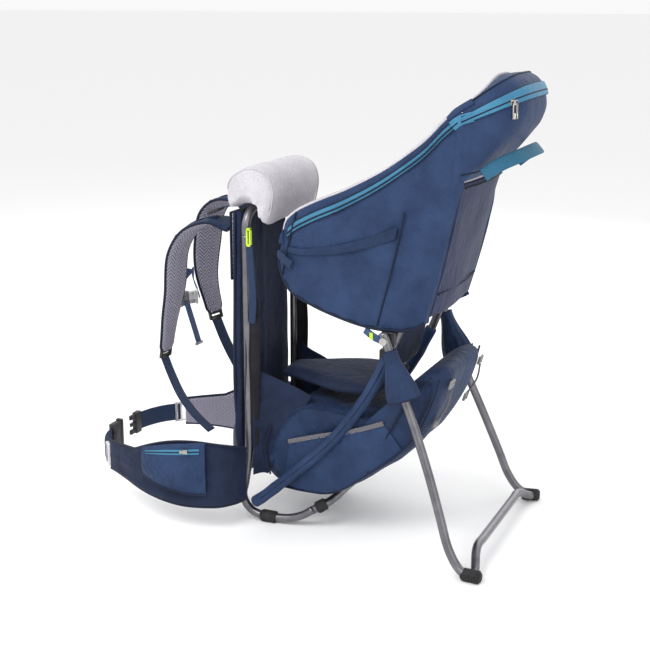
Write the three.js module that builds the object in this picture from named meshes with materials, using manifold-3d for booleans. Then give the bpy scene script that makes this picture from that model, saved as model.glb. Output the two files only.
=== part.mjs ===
// A framed child-carrier backpack: a bent-tube frame with a fold-out stand, a fabric cockpit,
// a storage bag, a padded harness and a hip belt. Millimetres, +Z up, +Y away from the wearer,
// +X to the wearer's left. The stand is folded out, and the carrier stands on its feet.
import * as THREE from "three";
import { mergeVertices } from "three/addons/utils/BufferGeometryUtils.js";
import Module from "manifold-3d";

const wasm = await Module();
wasm.setup();

// ---- Driving dimensions -------------------------------------------------------------------
const FRAME_PLANE_Y = -83.3; // where the plane of the main rails lies in the part's own frame
const GAP = 0.4; // clearance between pieces that touch
const TUBE_R = 8; // 16 mm frame tube
const TUBE_SIDES = 8;
const PAD_R = 12; // rubber pads round the tube
const FOOT_Z = 11; // height of the tube's centre where a pad stands on the ground
const RAIL_X = 105; // half the spacing of the main rails
const RAIL_TOP = 560;
const BOW_TOP = 606;
const PIVOT = { x: 158, y: 296, z: 404 }; // hinge of the stand
const PIN_R = 4;
const FOOT_X = 205; // half the spacing of the stand's feet
const FOOT_Y = 478;
const CROSSBAR = { x: 133, y: 468, z: 38 }; // raised middle of the stand
const WALL_THICKNESS = 8;
const STRAP_THICKNESS = 13;
const WEBBING = 3;
const BELT_HINGE = { x: 118, y: 2 };
const YOKE = { halfWidth: 84, bottom: 470, top: 596, front: -42, back: -31 };

// ---- Materials ----------------------------------------------------------------------------
const finish = (color, roughness, metalness = 0) =>
  new THREE.MeshStandardMaterial({ color, roughness, metalness });
const MATERIALS = {
  tube: finish(0x55555c, 0.35, 0.85),
  steel: finish(0x9a9aa0, 0.3, 0.9),
  rubber: finish(0x161616, 0.85),
  plastic: finish(0x232327, 0.5),
  grey_plastic: finish(0x8b8b8f, 0.45),
  lime_plastic: finish(0xb6d422, 0.4),
  navy: finish(0x3c5078, 0.8),
  dark_navy: finish(0x26314f, 0.85),
  teal: finish(0x4a9cc0, 0.7),
  mesh: finish(0xaaa8b4, 0.9),
  jersey: finish(0xd9d6da, 0.95),
  webbing: finish(0x2c3a5c, 0.75),
};

// ---- Shape helpers ------------------------------------------------------------------------
const point = ([x, y, z]) => new THREE.Vector3(x, y, z);
const spline = (points) => new THREE.CatmullRomCurve3(points.map(point), false, "centripetal");
const mix = THREE.MathUtils.lerp;
const SIDES = [
  ["left", 1],
  ["right", -1],
];
const mirror = (points, sign) => points.map(([x, y, z]) => [sign * x, y, z]);
// A left-half route and its mirror image, joined at the middle of the object.
const acrossMiddle = (half) => [
  ...half,
  ...half.filter(([x]) => x > 0).reverse().map(([x, y, z]) => [-x, y, z]),
];

const root = new THREE.Group();
root.position.y = FRAME_PLANE_Y;

function add(name, geometry, material) {
  const mesh = new THREE.Mesh(geometry, MATERIALS[material]);
  mesh.name = name;
  root.add(mesh);
  return mesh;
}

// Triangles with their faces turned outwards, as one geometry.
function closed(vertices, faces) {
  let volume = 0;
  for (const [a, b, c] of faces) volume += vertices[a].dot(vertices[b].clone().cross(vertices[c]));
  const index = faces.flatMap(([a, b, c]) => (volume < 0 ? [a, c, b] : [a, b, c]));
  const geometry = new THREE.BufferGeometry().setFromPoints(vertices);
  return geometry.setIndex(index);
}

// A tube of round section along a curve.
function tube(curve, radius, steps, sides = TUBE_SIDES) {
  const ring = [];
  for (let i = 0; i < sides; i++) {
    const angle = (2 * Math.PI * i) / sides;
    ring.push(new THREE.Vector2(radius * Math.cos(angle), radius * Math.sin(angle)));
  }
  return new THREE.ExtrudeGeometry(new THREE.Shape(ring), {
    steps,
    extrudePath: curve,
    bevelEnabled: false,
  });
}

// The stretch of a curve, of the given length, whose middle is nearest to a place.
function stretch(curve, place, length) {
  const target = point(place);
  const samples = 400;
  let middle = 0;
  for (let i = 0; i <= samples; i++) {
    const closer = curve.getPointAt(i / samples).distanceTo(target);
    if (closer < curve.getPointAt(middle).distanceTo(target)) middle = i / samples;
  }
  const half = length / 2 / curve.getLength();
  const points = [];
  for (let i = 0; i <= 8; i++) points.push(curve.getPointAt(middle + half * (i / 4 - 1)));
  return new THREE.CatmullRomCurve3(points, false, "centripetal");
}

// A closed body through rings of equally many points, capped at both ends.
function loft(rings) {
  const count = rings[0].length;
  const vertices = rings.flat();
  const faces = [];
  for (let r = 0; r + 1 < rings.length; r++) {
    for (let i = 0; i < count; i++) {
      const a = r * count + i;
      const b = r * count + ((i + 1) % count);
      faces.push([a, b, a + count], [b, b + count, a + count]);
    }
  }
  const last = (rings.length - 1) * count;
  for (let i = 1; i + 1 < count; i++) {
    faces.push([0, i + 1, i], [last, last + i, last + i + 1]);
  }
  return closed(vertices, faces);
}

// A closed panel: a grid of points on its outer face, and the same grid moved inwards.
function panel(columns, rows, outer, inner) {
  const vertices = [];
  for (const face of [outer, inner]) {
    for (let i = 0; i <= columns; i++) {
      for (let j = 0; j <= rows; j++) vertices.push(point(face(i / columns, j / rows)));
    }
  }
  const stride = rows + 1;
  const other = (columns + 1) * stride;
  const at = (i, j) => i * stride + j;
  const faces = [];
  for (let i = 0; i < columns; i++) {
    for (let j = 0; j < rows; j++) {
      const [a, b, c, d] = [at(i, j), at(i + 1, j), at(i + 1, j + 1), at(i, j + 1)];
      faces.push([a, b, c], [a, c, d], [other + a, other + c, other + b], [other + a, other + d, other + c]);
    }
  }
  const rim = [];
  for (let i = 0; i < columns; i++) rim.push(at(i, 0));
  for (let j = 0; j < rows; j++) rim.push(at(columns, j));
  for (let i = columns; i > 0; i--) rim.push(at(i, rows));
  for (let j = rows; j > 0; j--) rim.push(at(0, j));
  rim.forEach((a, k) => {
    const b = rim[(k + 1) % rim.length];
    faces.push([b, a, other + a], [b, other + a, other + b]);
  });
  return closed(vertices, faces);
}

// A flat strap along a route. widthAt and thickness are full sizes, and across is its width's direction.
function strap(route, widthAt, thickness, across, steps) {
  const curve = spline(route);
  const rings = [];
  for (let i = 0; i <= steps; i++) {
    const t = i / steps;
    const tangent = curve.getTangentAt(t);
    const side = point(across).addScaledVector(tangent, -point(across).dot(tangent)).normalize();
    const normal = tangent.clone().cross(side).multiplyScalar(thickness / 2);
    side.multiplyScalar(widthAt(t) / 2);
    const centre = curve.getPointAt(t);
    rings.push(
      [[1, 0.4], [0.85, 1], [-0.85, 1], [-1, 0.4], [-1, -0.4], [-0.85, -1], [0.85, -1], [1, -0.4]].map(
        ([w, h]) => centre.clone().addScaledVector(side, w).addScaledVector(normal, h),
      ),
    );
  }
  return loft(rings);
}

// A block with rounded corners in its front outline. size is [width, depth, height].
function block(size, corner, centre) {
  const [width, depth, height] = size;
  const shape = new THREE.Shape();
  const [w, h] = [width / 2, height / 2];
  shape.moveTo(-w + corner, -h);
  shape.lineTo(w - corner, -h);
  shape.quadraticCurveTo(w, -h, w, -h + corner);
  shape.lineTo(w, h - corner);
  shape.quadraticCurveTo(w, h, w - corner, h);
  shape.lineTo(-w + corner, h);
  shape.quadraticCurveTo(-w, h, -w, h - corner);
  shape.lineTo(-w, -h + corner);
  shape.quadraticCurveTo(-w, -h, -w + corner, -h);
  const geometry = new THREE.ExtrudeGeometry(shape, { depth, bevelEnabled: false, curveSegments: 3 });
  geometry.translate(0, 0, -depth / 2);
  geometry.rotateX(Math.PI / 2);
  return geometry.translate(...centre);
}

// A cylinder whose axis runs along X.
function crossPin(radius, from, to, y, z, sides = 16) {
  const geometry = new THREE.CylinderGeometry(radius, radius, Math.abs(to - from), sides);
  geometry.rotateZ(Math.PI / 2);
  return geometry.translate((from + to) / 2, y, z);
}

// ---- Booleans -----------------------------------------------------------------------------
function solid(geometry) {
  const bare = geometry.clone();
  bare.deleteAttribute("normal");
  bare.deleteAttribute("uv");
  const merged = mergeVertices(bare, 1e-3);
  return new wasm.Manifold(
    new wasm.Mesh({
      numProp: 3,
      vertProperties: merged.attributes.position.array,
      triVerts: new Uint32Array(merged.index.array),
    }),
  );
}

function surface(made) {
  const mesh = made.getMesh();
  const geometry = new THREE.BufferGeometry();
  geometry.setAttribute("position", new THREE.BufferAttribute(mesh.vertProperties, 3));
  return geometry.setIndex(new THREE.BufferAttribute(mesh.triVerts, 1));
}

const without = (body, ...tools) =>
  surface(tools.reduce((left, tool) => left.subtract(solid(tool)), solid(body)));
const union = (...bodies) => surface(bodies.map(solid).reduce((all, next) => all.add(next)));

// Everything below the ground, to give a rubber pad its flat sole.
const belowGround = () => new THREE.BoxGeometry(1200, 1600, 100).translate(0, 0, -50);

// ---- Frame --------------------------------------------------------------------------------
const RUNNER = [
  [RAIL_X, 0, RAIL_TOP],
  [RAIL_X, 0, 400],
  [RAIL_X, 0, 240],
  [RAIL_X, -1, 130],
  [RAIL_X, -9, 76],
  [RAIL_X, -14, 46],
  [RAIL_X, 0, 21],
  [RAIL_X, 26, FOOT_Z],
  [RAIL_X, 56, FOOT_Z],
  [104, 84, 14],
  [102, 108, 22],
  [99, 132, 37],
];
const RAIL_STEPS = 32;

function rail(side, sign) {
  const curve = spline(mirror(RUNNER, sign));
  add(`frame_rail_${side}`, tube(curve, TUBE_R, RAIL_STEPS), "tube");
  const fat = tube(curve, TUBE_R + GAP, RAIL_STEPS);
  const pad = tube(stretch(curve, [sign * RAIL_X, 41, FOOT_Z], 34), PAD_R, 3, 12);
  add(`base_pad_front_${side}`, without(pad, fat, belowGround()), "rubber");
}

// The rear loop of the base, from one runner's end across to the other.
const BASE_LOOP = acrossMiddle([
  [98.6, 134, 38.3],
  [95, 147, 46],
  [84, 157, 51],
  [60, 160, 52],
  [0, 160, 52],
]);

function baseLoop() {
  const curve = spline(BASE_LOOP);
  const steps = 22;
  add("frame_base_loop", tube(curve, TUBE_R, steps), "tube");
  const fat = tube(curve, TUBE_R + GAP, steps);
  for (const [side, sign] of SIDES) {
    const pad = tube(stretch(curve, [sign * 95, 147, 46], 20), PAD_R, 3, 12);
    add(`base_pad_rear_${side}`, without(pad, fat), "rubber");
  }
}

// The bow that joins the tops of the rails, and the hoop that carries the cockpit and the pivots.
const TOP_BOW = acrossMiddle([
  [RAIL_X, 0, RAIL_TOP + GAP],
  [RAIL_X, 0, 575],
  [98, 1, 594],
  [80, 2, BOW_TOP],
  [0, 2, BOW_TOP],
]);
const REAR_HOOP = acrossMiddle([
  [110, 16, 40],
  [112, 34, 54],
  [115, 92, 106],
  [119, 178, 188],
  [122, 250, 286],
  [123, 288, 360],
  [121, 308, 410],
  [115, 324, 438],
  [98, 333, 450],
  [60, 334, 452],
  [0, 334, 452],
]);

function frame() {
  for (const [side, sign] of SIDES) rail(side, sign);
  baseLoop();
  add("frame_top_bow", tube(spline(TOP_BOW), TUBE_R, 22), "tube");
  add("frame_rear_hoop", tube(spline(REAR_HOOP), TUBE_R, 38), "tube");
}

// ---- Stand --------------------------------------------------------------------------------
const LEG = [
  [157, 291, 417],
  [157, PIVOT.y, PIVOT.z],
  [158, 334, 300],
  [164, 358, 244],
  [176, 390, 165],
  [188, 415, 98],
  [196, 432, 52],
  [202, 451, 23],
  [206, 467, 12.5],
  [FOOT_X, FOOT_Y, FOOT_Z],
  [194, 481, 13],
  [176, 477, 21],
  [154, 471, 32],
  [CROSSBAR.x, CROSSBAR.y, CROSSBAR.z],
  [100, CROSSBAR.y, CROSSBAR.z],
  [0, CROSSBAR.y, CROSSBAR.z],
];
const STAND_STEPS = 74;
const BUTTON = { y: 346, z: 272, r: 5, travel: 3 };

function stand() {
  const curve = spline(acrossMiddle(LEG));
  const bores = [];
  for (const sign of [1, -1]) {
    bores.push(crossPin(PIN_R + GAP, sign * 140, sign * 180, PIVOT.y, PIVOT.z));
    bores.push(crossPin(BUTTON.r + GAP, sign * 145, sign * 163, BUTTON.y, BUTTON.z));
  }
  add("kickstand", without(tube(curve, TUBE_R, STAND_STEPS), ...bores), "tube");
  const fat = tube(curve, TUBE_R + GAP, STAND_STEPS);
  for (const [side, sign] of SIDES) {
    const pad = tube(stretch(curve, [sign * FOOT_X, FOOT_Y, FOOT_Z], 34), PAD_R, 4, 12);
    add(`kickstand_foot_${side}`, without(pad, fat, belowGround()), "rubber");
    add(
      `lock_button_${side}`,
      crossPin(BUTTON.r, sign * 149.4, sign * (162.2 - BUTTON.travel), BUTTON.y, BUTTON.z, 12),
      "plastic",
    );
    const boss = crossPin(13, sign * 132.4, sign * 148.6, PIVOT.y, PIVOT.z, 20);
    const hole = crossPin(PIN_R + GAP, sign * 130, sign * 150, PIVOT.y, PIVOT.z);
    add(`pivot_bracket_${side}`, without(boss, hole), "plastic");
    const shaft = crossPin(PIN_R, sign * 134, sign * 168, PIVOT.y, PIVOT.z);
    const head = crossPin(7, sign * 166, sign * 170, PIVOT.y, PIVOT.z);
    add(`pivot_pin_${side}`, union(shaft, head), "steel");
  }
}

// A cone of round section along a route, standing level.
function cone(route, radiusAt, steps, sides = 12) {
  const curve = spline(route);
  const rings = [];
  for (let i = 0; i <= steps; i++) {
    const centre = curve.getPointAt(i / steps);
    const ring = [];
    for (let k = 0; k < sides; k++) {
      const angle = (2 * Math.PI * k) / sides;
      const r = radiusAt(i / steps);
      ring.push(centre.clone().add(point([r * Math.cos(angle), r * Math.sin(angle), 0])));
    }
    rings.push(ring);
  }
  return loft(rings);
}

// The gathered fabric sleeves that cover the tops of the legs.
function sleeves() {
  for (const [side, sign] of SIDES) {
    const outside = mirror([[157, 304, 384], [157.4, 318, 344], [158, 334, 300]], sign);
    const bore = mirror([[157, 300, 396], [157.2, 307, 374], [157.6, 321, 336], [158, 338.5, 288]], sign);
    const body = cone(outside, (t) => mix(11.5, 13.5, t), 4);
    add(`leg_sleeve_${side}`, without(body, cone(bore, () => TUBE_R + 1.6, 4)), "navy");
  }
}

// ---- Back and seat ------------------------------------------------------------------------
// The padded back panel hangs in front of the rails; its foot is narrower, between their bends.
function backPanel() {
  const bottom = 80;
  const top = 604;
  const at = (u, v, y) => {
    const z = mix(bottom, top, v);
    const halfWidth = z < 150 ? mix(93, 108, THREE.MathUtils.smoothstep(z, 128, 150)) : mix(109, 98, v);
    return [mix(-halfWidth, halfWidth, u), y, z];
  };
  const front = (u, v) => at(u, v, -28 + 5 * Math.sin(Math.PI * u));
  add("back_panel", panel(6, 10, front, (u, v) => at(u, v, -TUBE_R - 2)), "dark_navy");
  const pad = (y) => (u, v) => {
    const crown = Math.sin(Math.PI * u) * Math.sin(Math.PI * v);
    return [mix(-92, 92, u), y < -40 ? y - 8 * crown : y, mix(92, 186, v)];
  };
  add("lumbar_pad", panel(8, 6, pad(-44), pad(-29)), "mesh");
}

const SEAT = { front: 36, rear: 262, top: 290, thickness: 24 };
const BACKREST = { foot: 262, head: 356, bottom: 304, top: 640, halfWidth: 94, thickness: 20 };

function seat() {
  const at = (drop) => (u, v) => {
    const halfWidth = mix(36, 96, THREE.MathUtils.smoothstep(u, 0.3, 0.8));
    const x = mix(-halfWidth, halfWidth, v);
    const dip = 6 * Math.sin(Math.PI * u);
    return [x, mix(SEAT.front, SEAT.rear, u), SEAT.top - dip - drop];
  };
  add("seat_cushion", panel(10, 4, at(0), at(SEAT.thickness)), "dark_navy");
  const back = (depth) => (u, v) => {
    const y = mix(BACKREST.foot, BACKREST.head, v) + 10 * Math.sin(Math.PI * u) - 10 + depth;
    return [mix(-1, 1, u) * BACKREST.halfWidth, y, mix(BACKREST.bottom, BACKREST.top, v)];
  };
  add("seat_back", panel(6, 8, back(0), back(BACKREST.thickness)), "dark_navy");
}

// The child's own harness: two straps down the seat back to one buckle over the crotch.
function childHarness() {
  for (const [side, sign] of SIDES) {
    const route = mirror([[44, 330, 596], [40, 296, 480], [28, 262, 388], [14, 246, 352]], sign);
    add(`child_strap_${side}`, strap(route, () => 26, WEBBING, [1, 0, 0], 8), "webbing");
  }
  add("child_buckle", block([42, 13, 46], 9, [0, 238, 324]), "plastic");
}

// ---- Cockpit ------------------------------------------------------------------------------
const WALL_BOTTOM = [
  [132, 80, 540],
  [134, 84, 505],
  [135, 104, 470],
  [137, 146, 449],
  [141, 205, 431],
  [143, 254, 421],
  [142, 296, 418],
  [138, 335, 422],
  [130, 358, 434],
];
const WALL_TOP = [
  [135, 89, 563],
  [135, 95, 597],
  [138, 116, 617],
  [141, 156, 638],
  [142, 214, 663],
  [142, 278, 697],
  [141, 318, 724],
  [139, 356, 754],
  [136, 388, 788],
  [133, 411, 808],
];

function cockpitWalls() {
  const low = spline(WALL_BOTTOM);
  const high = spline(WALL_TOP);
  const outer = (u, v) => {
    const p = low.getPointAt(u).lerp(high.getPointAt(u), v);
    const swell = Math.sin(Math.PI * v);
    p.y += 19 * swell * THREE.MathUtils.smoothstep(u, 0.6, 1);
    p.x += 5 * swell * Math.sin(Math.PI * u);
    return p;
  };
  for (const [side, sign] of SIDES) {
    const face = (inset) => (u, v) => {
      const p = outer(u, v);
      return [sign * (p.x - inset), p.y, p.z];
    };
    add(`cockpit_wall_${side}`, panel(11, 4, face(0), face(WALL_THICKNESS)), "navy");
  }
}

// The panel behind the child, between the side walls.
const REAR_WALL = [
  [0, 362, 440],
  [0, 379, 504],
  [0, 394, 567],
  [0, 409, 637],
  [0, 421, 679],
];

function rearWall() {
  const line = spline(REAR_WALL);
  const face = (inset) => (u, v) => {
    const p = line.getPointAt(v);
    const halfWidth = mix(112, 117, v);
    return [mix(-halfWidth, halfWidth, u), p.y + 9 * Math.sin(Math.PI * u) - inset, p.z];
  };
  add("cockpit_rear_wall", panel(8, 6, face(0), face(WALL_THICKNESS)), "navy");
}

// The padded hood round the child's head. Its plan is a squared half ring behind the walls.
const HOOD_FRONT_Y = 417;
const HOOD_REAR = [
  [0, 426, 684],
  [0, 446, 706],
  [0, 468, 728],
  [0, 490, 753],
  [0, 507, 777],
  [0, 516, 803],
  [0, 512, 832],
  [0, 500, 852],
  [0, 482, 862],
];
const HOOD_SIDE = [
  [127, 0, 684],
  [131, 0, 712],
  [133, 0, 745],
  [134, 0, 775],
  [133, 0, 800],
  [131, 0, 811],
];
const HOOD_REAR_LINE = spline(HOOD_REAR);
const HOOD_SIDE_LINE = spline(HOOD_SIDE);

// A point of the hood, u round from left to right and v upwards; inset 0 is its outside, 1 its lining.
function hoodPoint(u, v, inset) {
  const power = 0.62;
  const angle = Math.PI * u;
  const across = Math.sign(Math.cos(angle)) * Math.abs(Math.cos(angle)) ** power;
  const depth = Math.sin(angle) ** power;
  const r = HOOD_REAR_LINE.getPointAt(v);
  const f = HOOD_SIDE_LINE.getPointAt(v);
  const thick = inset * mix(WALL_THICKNESS, 34, depth);
  const taper = 1 - 0.24 * depth * v * v;
  const x = across * (f.x * taper - thick);
  const y = HOOD_FRONT_Y + (r.y - HOOD_FRONT_Y) * depth - thick * depth;
  return [x, y, mix(f.z, r.z, depth) + inset * depth * (v < 0.5 ? 8 : -4)];
}

function headrestHood() {
  const face = (inset) => (u, v) => hoodPoint(u, v, inset);
  add("headrest_hood", panel(18, 7, face(0), face(1)), "navy");
}

// The soft pillow in front of the child, hung over the top bow.
function frontPillow() {
  const outline = [
    [-42, 628],
    [-34, 662],
    [-10, 682],
    [22, 688],
    [50, 672],
    [60, 640],
    [50, 617],
    [24, 619],
    [-20, 619],
    [-36, 617],
  ];
  const rings = [];
  for (const [x, scale] of [[-118, 0.82], [-108, 0.95], [-80, 1], [80, 1], [108, 0.95], [118, 0.82]]) {
    rings.push(outline.map(([y, z]) => point([x, 4 + (y - 4) * scale, 652 + (z - 652) * mix(scale, 1, 0.6)])));
  }
  add("front_pillow", loft(rings), "jersey");
}

function grabHandle() {
  const route = acrossMiddle([
    [110, 450, 696],
    [98, 470, 711],
    [66, 498, 725],
    [0, 512, 732],
  ]);
  add("grab_handle", strap(route, () => 24, 7, [0, 1, -1.1], 14), "teal");
}

// ---- Storage bag --------------------------------------------------------------------------
function storageBag() {
  const outline = [
    [14, 118],
    [28, 92],
    [60, 68],
    [108, 64],
    [176, 70],
    [256, 124],
    [318, 174],
    [354, 218],
    [388, 296],
    [396, 340],
    [378, 346],
    [330, 318],
    [290, 256],
    [190, 250],
    [100, 246],
    [44, 200],
  ];
  const middle = { y: 200, z: 190 };
  const rings = [];
  for (const across of [-1, -0.93, -0.6, 0, 0.6, 0.93, 1]) {
    const scale = 1 - 0.1 * across ** 6;
    rings.push(
      outline.map(([y, z]) => {
        const halfWidth = mix(98, 116, THREE.MathUtils.smoothstep(y, 60, 260));
        return point([across * halfWidth, mix(middle.y, y, scale), mix(middle.z, z, scale)]);
      }),
    );
  }
  add("storage_bag", loft(rings), "navy");
}

// ---- Shoulder harness ---------------------------------------------------------------------
function yoke() {
  const face = (y) => (u, v) => {
    const halfWidth = YOKE.halfWidth - 14 * v;
    return [mix(-halfWidth, halfWidth, u), y, mix(YOKE.bottom, YOKE.top, v)];
  };
  add("harness_yoke", panel(6, 6, face(YOKE.front), face(YOKE.back)), "dark_navy");
}

// The two straps hang differently, as soft straps do. each: padded route, its width's direction,
// the adjusting webbing below it, and the load lifter above it.
const SHOULDER = {
  left: {
    route: [[60, -50, 566], [66, -84, 576], [70, -132, 558], [70, -164, 512], [70, -174, 434], [68, -188, 376], [66, -200, 310]],
    across: [0.995, -0.105, 0],
    webbing: [[66, -206, 300], [72, -186, 262], [86, -156, 225], [98, -120, 195], [100, -84, 168]],
    lifter: [[56, -47, 606], [60, -68, 602], [64, -98, 588]],
  },
  right: {
    route: [[-60, -50, 572], [-64, -84, 596], [-66, -130, 594], [-67, -162, 566], [-68, -174, 510], [-68, -178, 440], [-66, -160, 362]],
    across: [0.93, -0.36, 0],
    webbing: [[-66, -158, 350], [-72, -140, 300], [-84, -118, 246], [-96, -98, 202], [-100, -78, 168]],
    lifter: [[-56, -47, 628], [-58, -68, 624], [-62, -98, 613]],
  },
};

function shoulderHarness() {
  for (const [side] of SIDES) {
    const parts = SHOULDER[side];
    const width = (t) => mix(68, 40, THREE.MathUtils.smoothstep(t, 0.55, 1));
    add(`shoulder_strap_${side}`, strap(parts.route, width, STRAP_THICKNESS, parts.across, 14), "mesh");
    add(`strap_webbing_${side}`, strap(parts.webbing, () => 25, WEBBING, parts.across, 10), "webbing");
    add(`load_lifter_${side}`, strap(parts.lifter, () => 25, WEBBING, parts.across, 5), "webbing");
  }
}

// The chest strap hangs slack between the two shoulder straps, with its buckle closed.
const CHEST_BUCKLE = { centre: [-1, -184, 402], turn: -0.45, reach: 11.4 };

function chestStrap() {
  const left = [[30, -160, 468], [32, -180, 444], [31, -195, 418], [22.4, -195.6, 401]];
  const right = [[-33, -191, 456], [-34, -190, 432], [-31, -180, 412], [-24.8, -172.6, 401]];
  const loose = [[8, -181, 386], [8, -170, 352], [4, -160, 312]];
  add("chest_webbing_left", strap(left, () => 20, WEBBING, [0, 1, 0.3], 6), "webbing");
  add("chest_webbing_right", strap(right, () => 20, WEBBING, [0, 1, 0.3], 6), "webbing");
  add("chest_strap_end", strap(loose, () => 20, WEBBING, [0.3, 1, 0], 4), "webbing");
  const [x, y, z] = CHEST_BUCKLE.centre;
  for (const [half, sign, height] of [["socket", 1, 30], ["prong", -1, 26]]) {
    const geometry = block([20, 9, height], 5, [sign * CHEST_BUCKLE.reach, 0, 0]);
    geometry.rotateZ(CHEST_BUCKLE.turn).translate(x, y, z);
    add(`chest_buckle_${half}`, geometry, "grey_plastic");
  }
}

// ---- Hip belt -----------------------------------------------------------------------------
const WING_PLAN = [
  [124, 2, 0],
  [150, -3, 0],
  [184, -26, 0],
  [202, -72, 0],
  [206, -125, 0],
  [197, -182, 0],
  [174, -236, 0],
  [150, -284, 0],
];
const WING_THICKNESS = 14;
const POCKET = { from: 0.26, to: 0.64, bottom: 76, top: 184, depth: 18 };
const POCKET_ZIP = { from: 0.26, to: 0.54, height: 0.86, standOff: 5.6 };

function hipBelt() {
  const plan = spline(WING_PLAN);
  const offset = (t, distance) => {
    const tangent = plan.getTangentAt(t);
    const p = plan.getPointAt(t);
    return [p.x - distance * tangent.y, p.y + distance * tangent.x];
  };
  const bottomAt = (t) => mix(50, 78, THREE.MathUtils.smoothstep(t, 0.35, 1));
  const topAt = (t) => 150 + 30 * Math.sin(Math.PI * Math.min(1, 1.35 * t)) - 16 * t * t;
  for (const [side, sign] of SIDES) {
    const wing = (distance) => (u, v) => {
      const [x, y] = offset(u, distance);
      return [sign * x, y, mix(bottomAt(u), topAt(u), v)];
    };
    const half = WING_THICKNESS / 2;
    add(`hip_wing_${side}`, panel(14, 4, wing(-half), wing(half)), "dark_navy");
    const pouch = (standOff, depth) => (u, v) => {
      const t = mix(POCKET.from, POCKET.to, u);
      const swell = Math.sin(Math.PI * mix(0.08, 0.92, u)) * Math.sin(Math.PI * mix(0.12, 0.88, v));
      const [x, y] = offset(t, half + standOff + depth * Math.sqrt(swell));
      return [sign * x, y, mix(POCKET.bottom + 26 * u * u, POCKET.top - 26 * u * u, v)];
    };
    add(`hip_pocket_${side}`, panel(8, 5, pouch(0, POCKET.depth), pouch(GAP, 0)), "navy");
    const zip = pouch(POCKET_ZIP.standOff, POCKET.depth);
    const start = zip(POCKET_ZIP.from, POCKET_ZIP.height);
    const end = zip(POCKET_ZIP.to, POCKET_ZIP.height);
    const slider = block([10, 5, 9], 2, [0, 0, 0]);
    slider.rotateZ(Math.atan2(end[1] - start[1], end[0] - start[0]));
    add(`hip_zip_slider_${side}`, slider.translate(...start), "steel");
    const route = mirror([[146, -292, 105], [118, -318, 105], [86, -334, 105], [56, -342, 105]], sign);
    add(`hip_webbing_${side}`, strap(route, () => 38, WEBBING, [0, 0, 1], 6), "webbing");
  }
  add("hip_buckle_socket", block([38, 13, 52], 8, [36, -343, 105]), "plastic");
  add("hip_buckle_prong", block([38, 11, 46], 8, [-36, -343, 105]), "plastic");
}

// ---- Small hardware -----------------------------------------------------------------------
// The hooks that hold the cockpit's front corners, and can be opened to let the child in.
function entryHooks() {
  for (const [side, sign] of SIDES) {
    const geometry = block([12, 9, 34], 4, [sign * 121, 14, 560]);
    add(`entry_hook_${side}`, geometry, "lime_plastic");
  }
}

// The slider at the rear end of the cockpit's zip, with a pull that hangs from it.
const ZIP_PLACE = { u: 0.24, v: 0.78 };
const ZIP_STAND_OFF = 4;

function zips() {
  const [x, y, z] = hoodPoint(ZIP_PLACE.u, ZIP_PLACE.v, 0);
  const outward = { x: 0.72, y: 0.69 };
  const centre = [x + outward.x * ZIP_STAND_OFF, y + outward.y * ZIP_STAND_OFF, z];
  const turn = Math.atan2(outward.y, outward.x) + Math.PI / 2;
  const slider = block([14, 5, 10], 2, [0, 0, 0]).rotateZ(turn);
  add("cockpit_zip_slider", slider.translate(...centre), "steel");
  const pull = block([9, 2.4, 26], 3, [0, -4.6, -14]).rotateZ(turn);
  add("cockpit_zip_pull", pull.translate(...centre), "steel");
}

frame();
stand();
sleeves();
backPanel();
seat();
childHarness();
cockpitWalls();
rearWall();
headrestHood();
frontPillow();
grabHandle();
storageBag();
yoke();
shoulderHarness();
chestStrap();
hipBelt();
entryHooks();
zips();

export default root;
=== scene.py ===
"""A framed child-carrier backpack, standing on its fold-out stand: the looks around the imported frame."""

import math
import bmesh
import bpy
import numpy as np
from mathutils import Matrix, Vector


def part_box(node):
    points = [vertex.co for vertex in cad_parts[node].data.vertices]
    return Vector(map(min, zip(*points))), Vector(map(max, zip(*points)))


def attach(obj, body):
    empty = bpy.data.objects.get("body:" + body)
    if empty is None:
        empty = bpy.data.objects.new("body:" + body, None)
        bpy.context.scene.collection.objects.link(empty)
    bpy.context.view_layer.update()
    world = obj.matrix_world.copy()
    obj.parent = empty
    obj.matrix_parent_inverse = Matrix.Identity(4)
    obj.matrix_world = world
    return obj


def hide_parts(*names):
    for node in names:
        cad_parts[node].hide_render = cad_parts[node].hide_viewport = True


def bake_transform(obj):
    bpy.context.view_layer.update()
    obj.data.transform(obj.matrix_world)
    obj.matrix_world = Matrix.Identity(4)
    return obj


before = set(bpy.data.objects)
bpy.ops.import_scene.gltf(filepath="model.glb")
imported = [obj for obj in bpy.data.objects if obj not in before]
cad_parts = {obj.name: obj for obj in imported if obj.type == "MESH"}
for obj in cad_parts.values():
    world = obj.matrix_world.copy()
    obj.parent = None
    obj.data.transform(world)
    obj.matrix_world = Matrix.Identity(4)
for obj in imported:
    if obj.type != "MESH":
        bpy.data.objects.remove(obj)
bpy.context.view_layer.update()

MM = 0.001
SIDES = (("left", 1), ("right", -1))


def centre_of(node):
    """The middle of a CAD node's box, in millimetres."""
    low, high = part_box(node)
    return np.array((low + high) / 2) / MM


# Shapes below are in millimetres, with y = 0 in the plane of the main rails, as the frame is laid out.
PIVOT_Y = 296
RAIL_PLANE = centre_of("pivot_pin_left")[1] - PIVOT_Y
TUBE_R = 8
ZIP_CHAIN_R = 1.512
UPRIGHT = ((1, 0, 0), (0, 1, 0), (0, 0, 1))


def row(points):
    """Millimetres from the rails' plane, as metres in the part's own frame."""
    p = np.array(points, float)
    p[..., 1] += RAIL_PLANE
    return p * MM


def solid_place(node):
    """The middle of a CAD node's box, from the rails' plane, and the box's size, in millimetres."""
    low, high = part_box(node)
    return centre_of(node) - (0, RAIL_PLANE, 0), np.array(high - low) / MM


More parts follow.
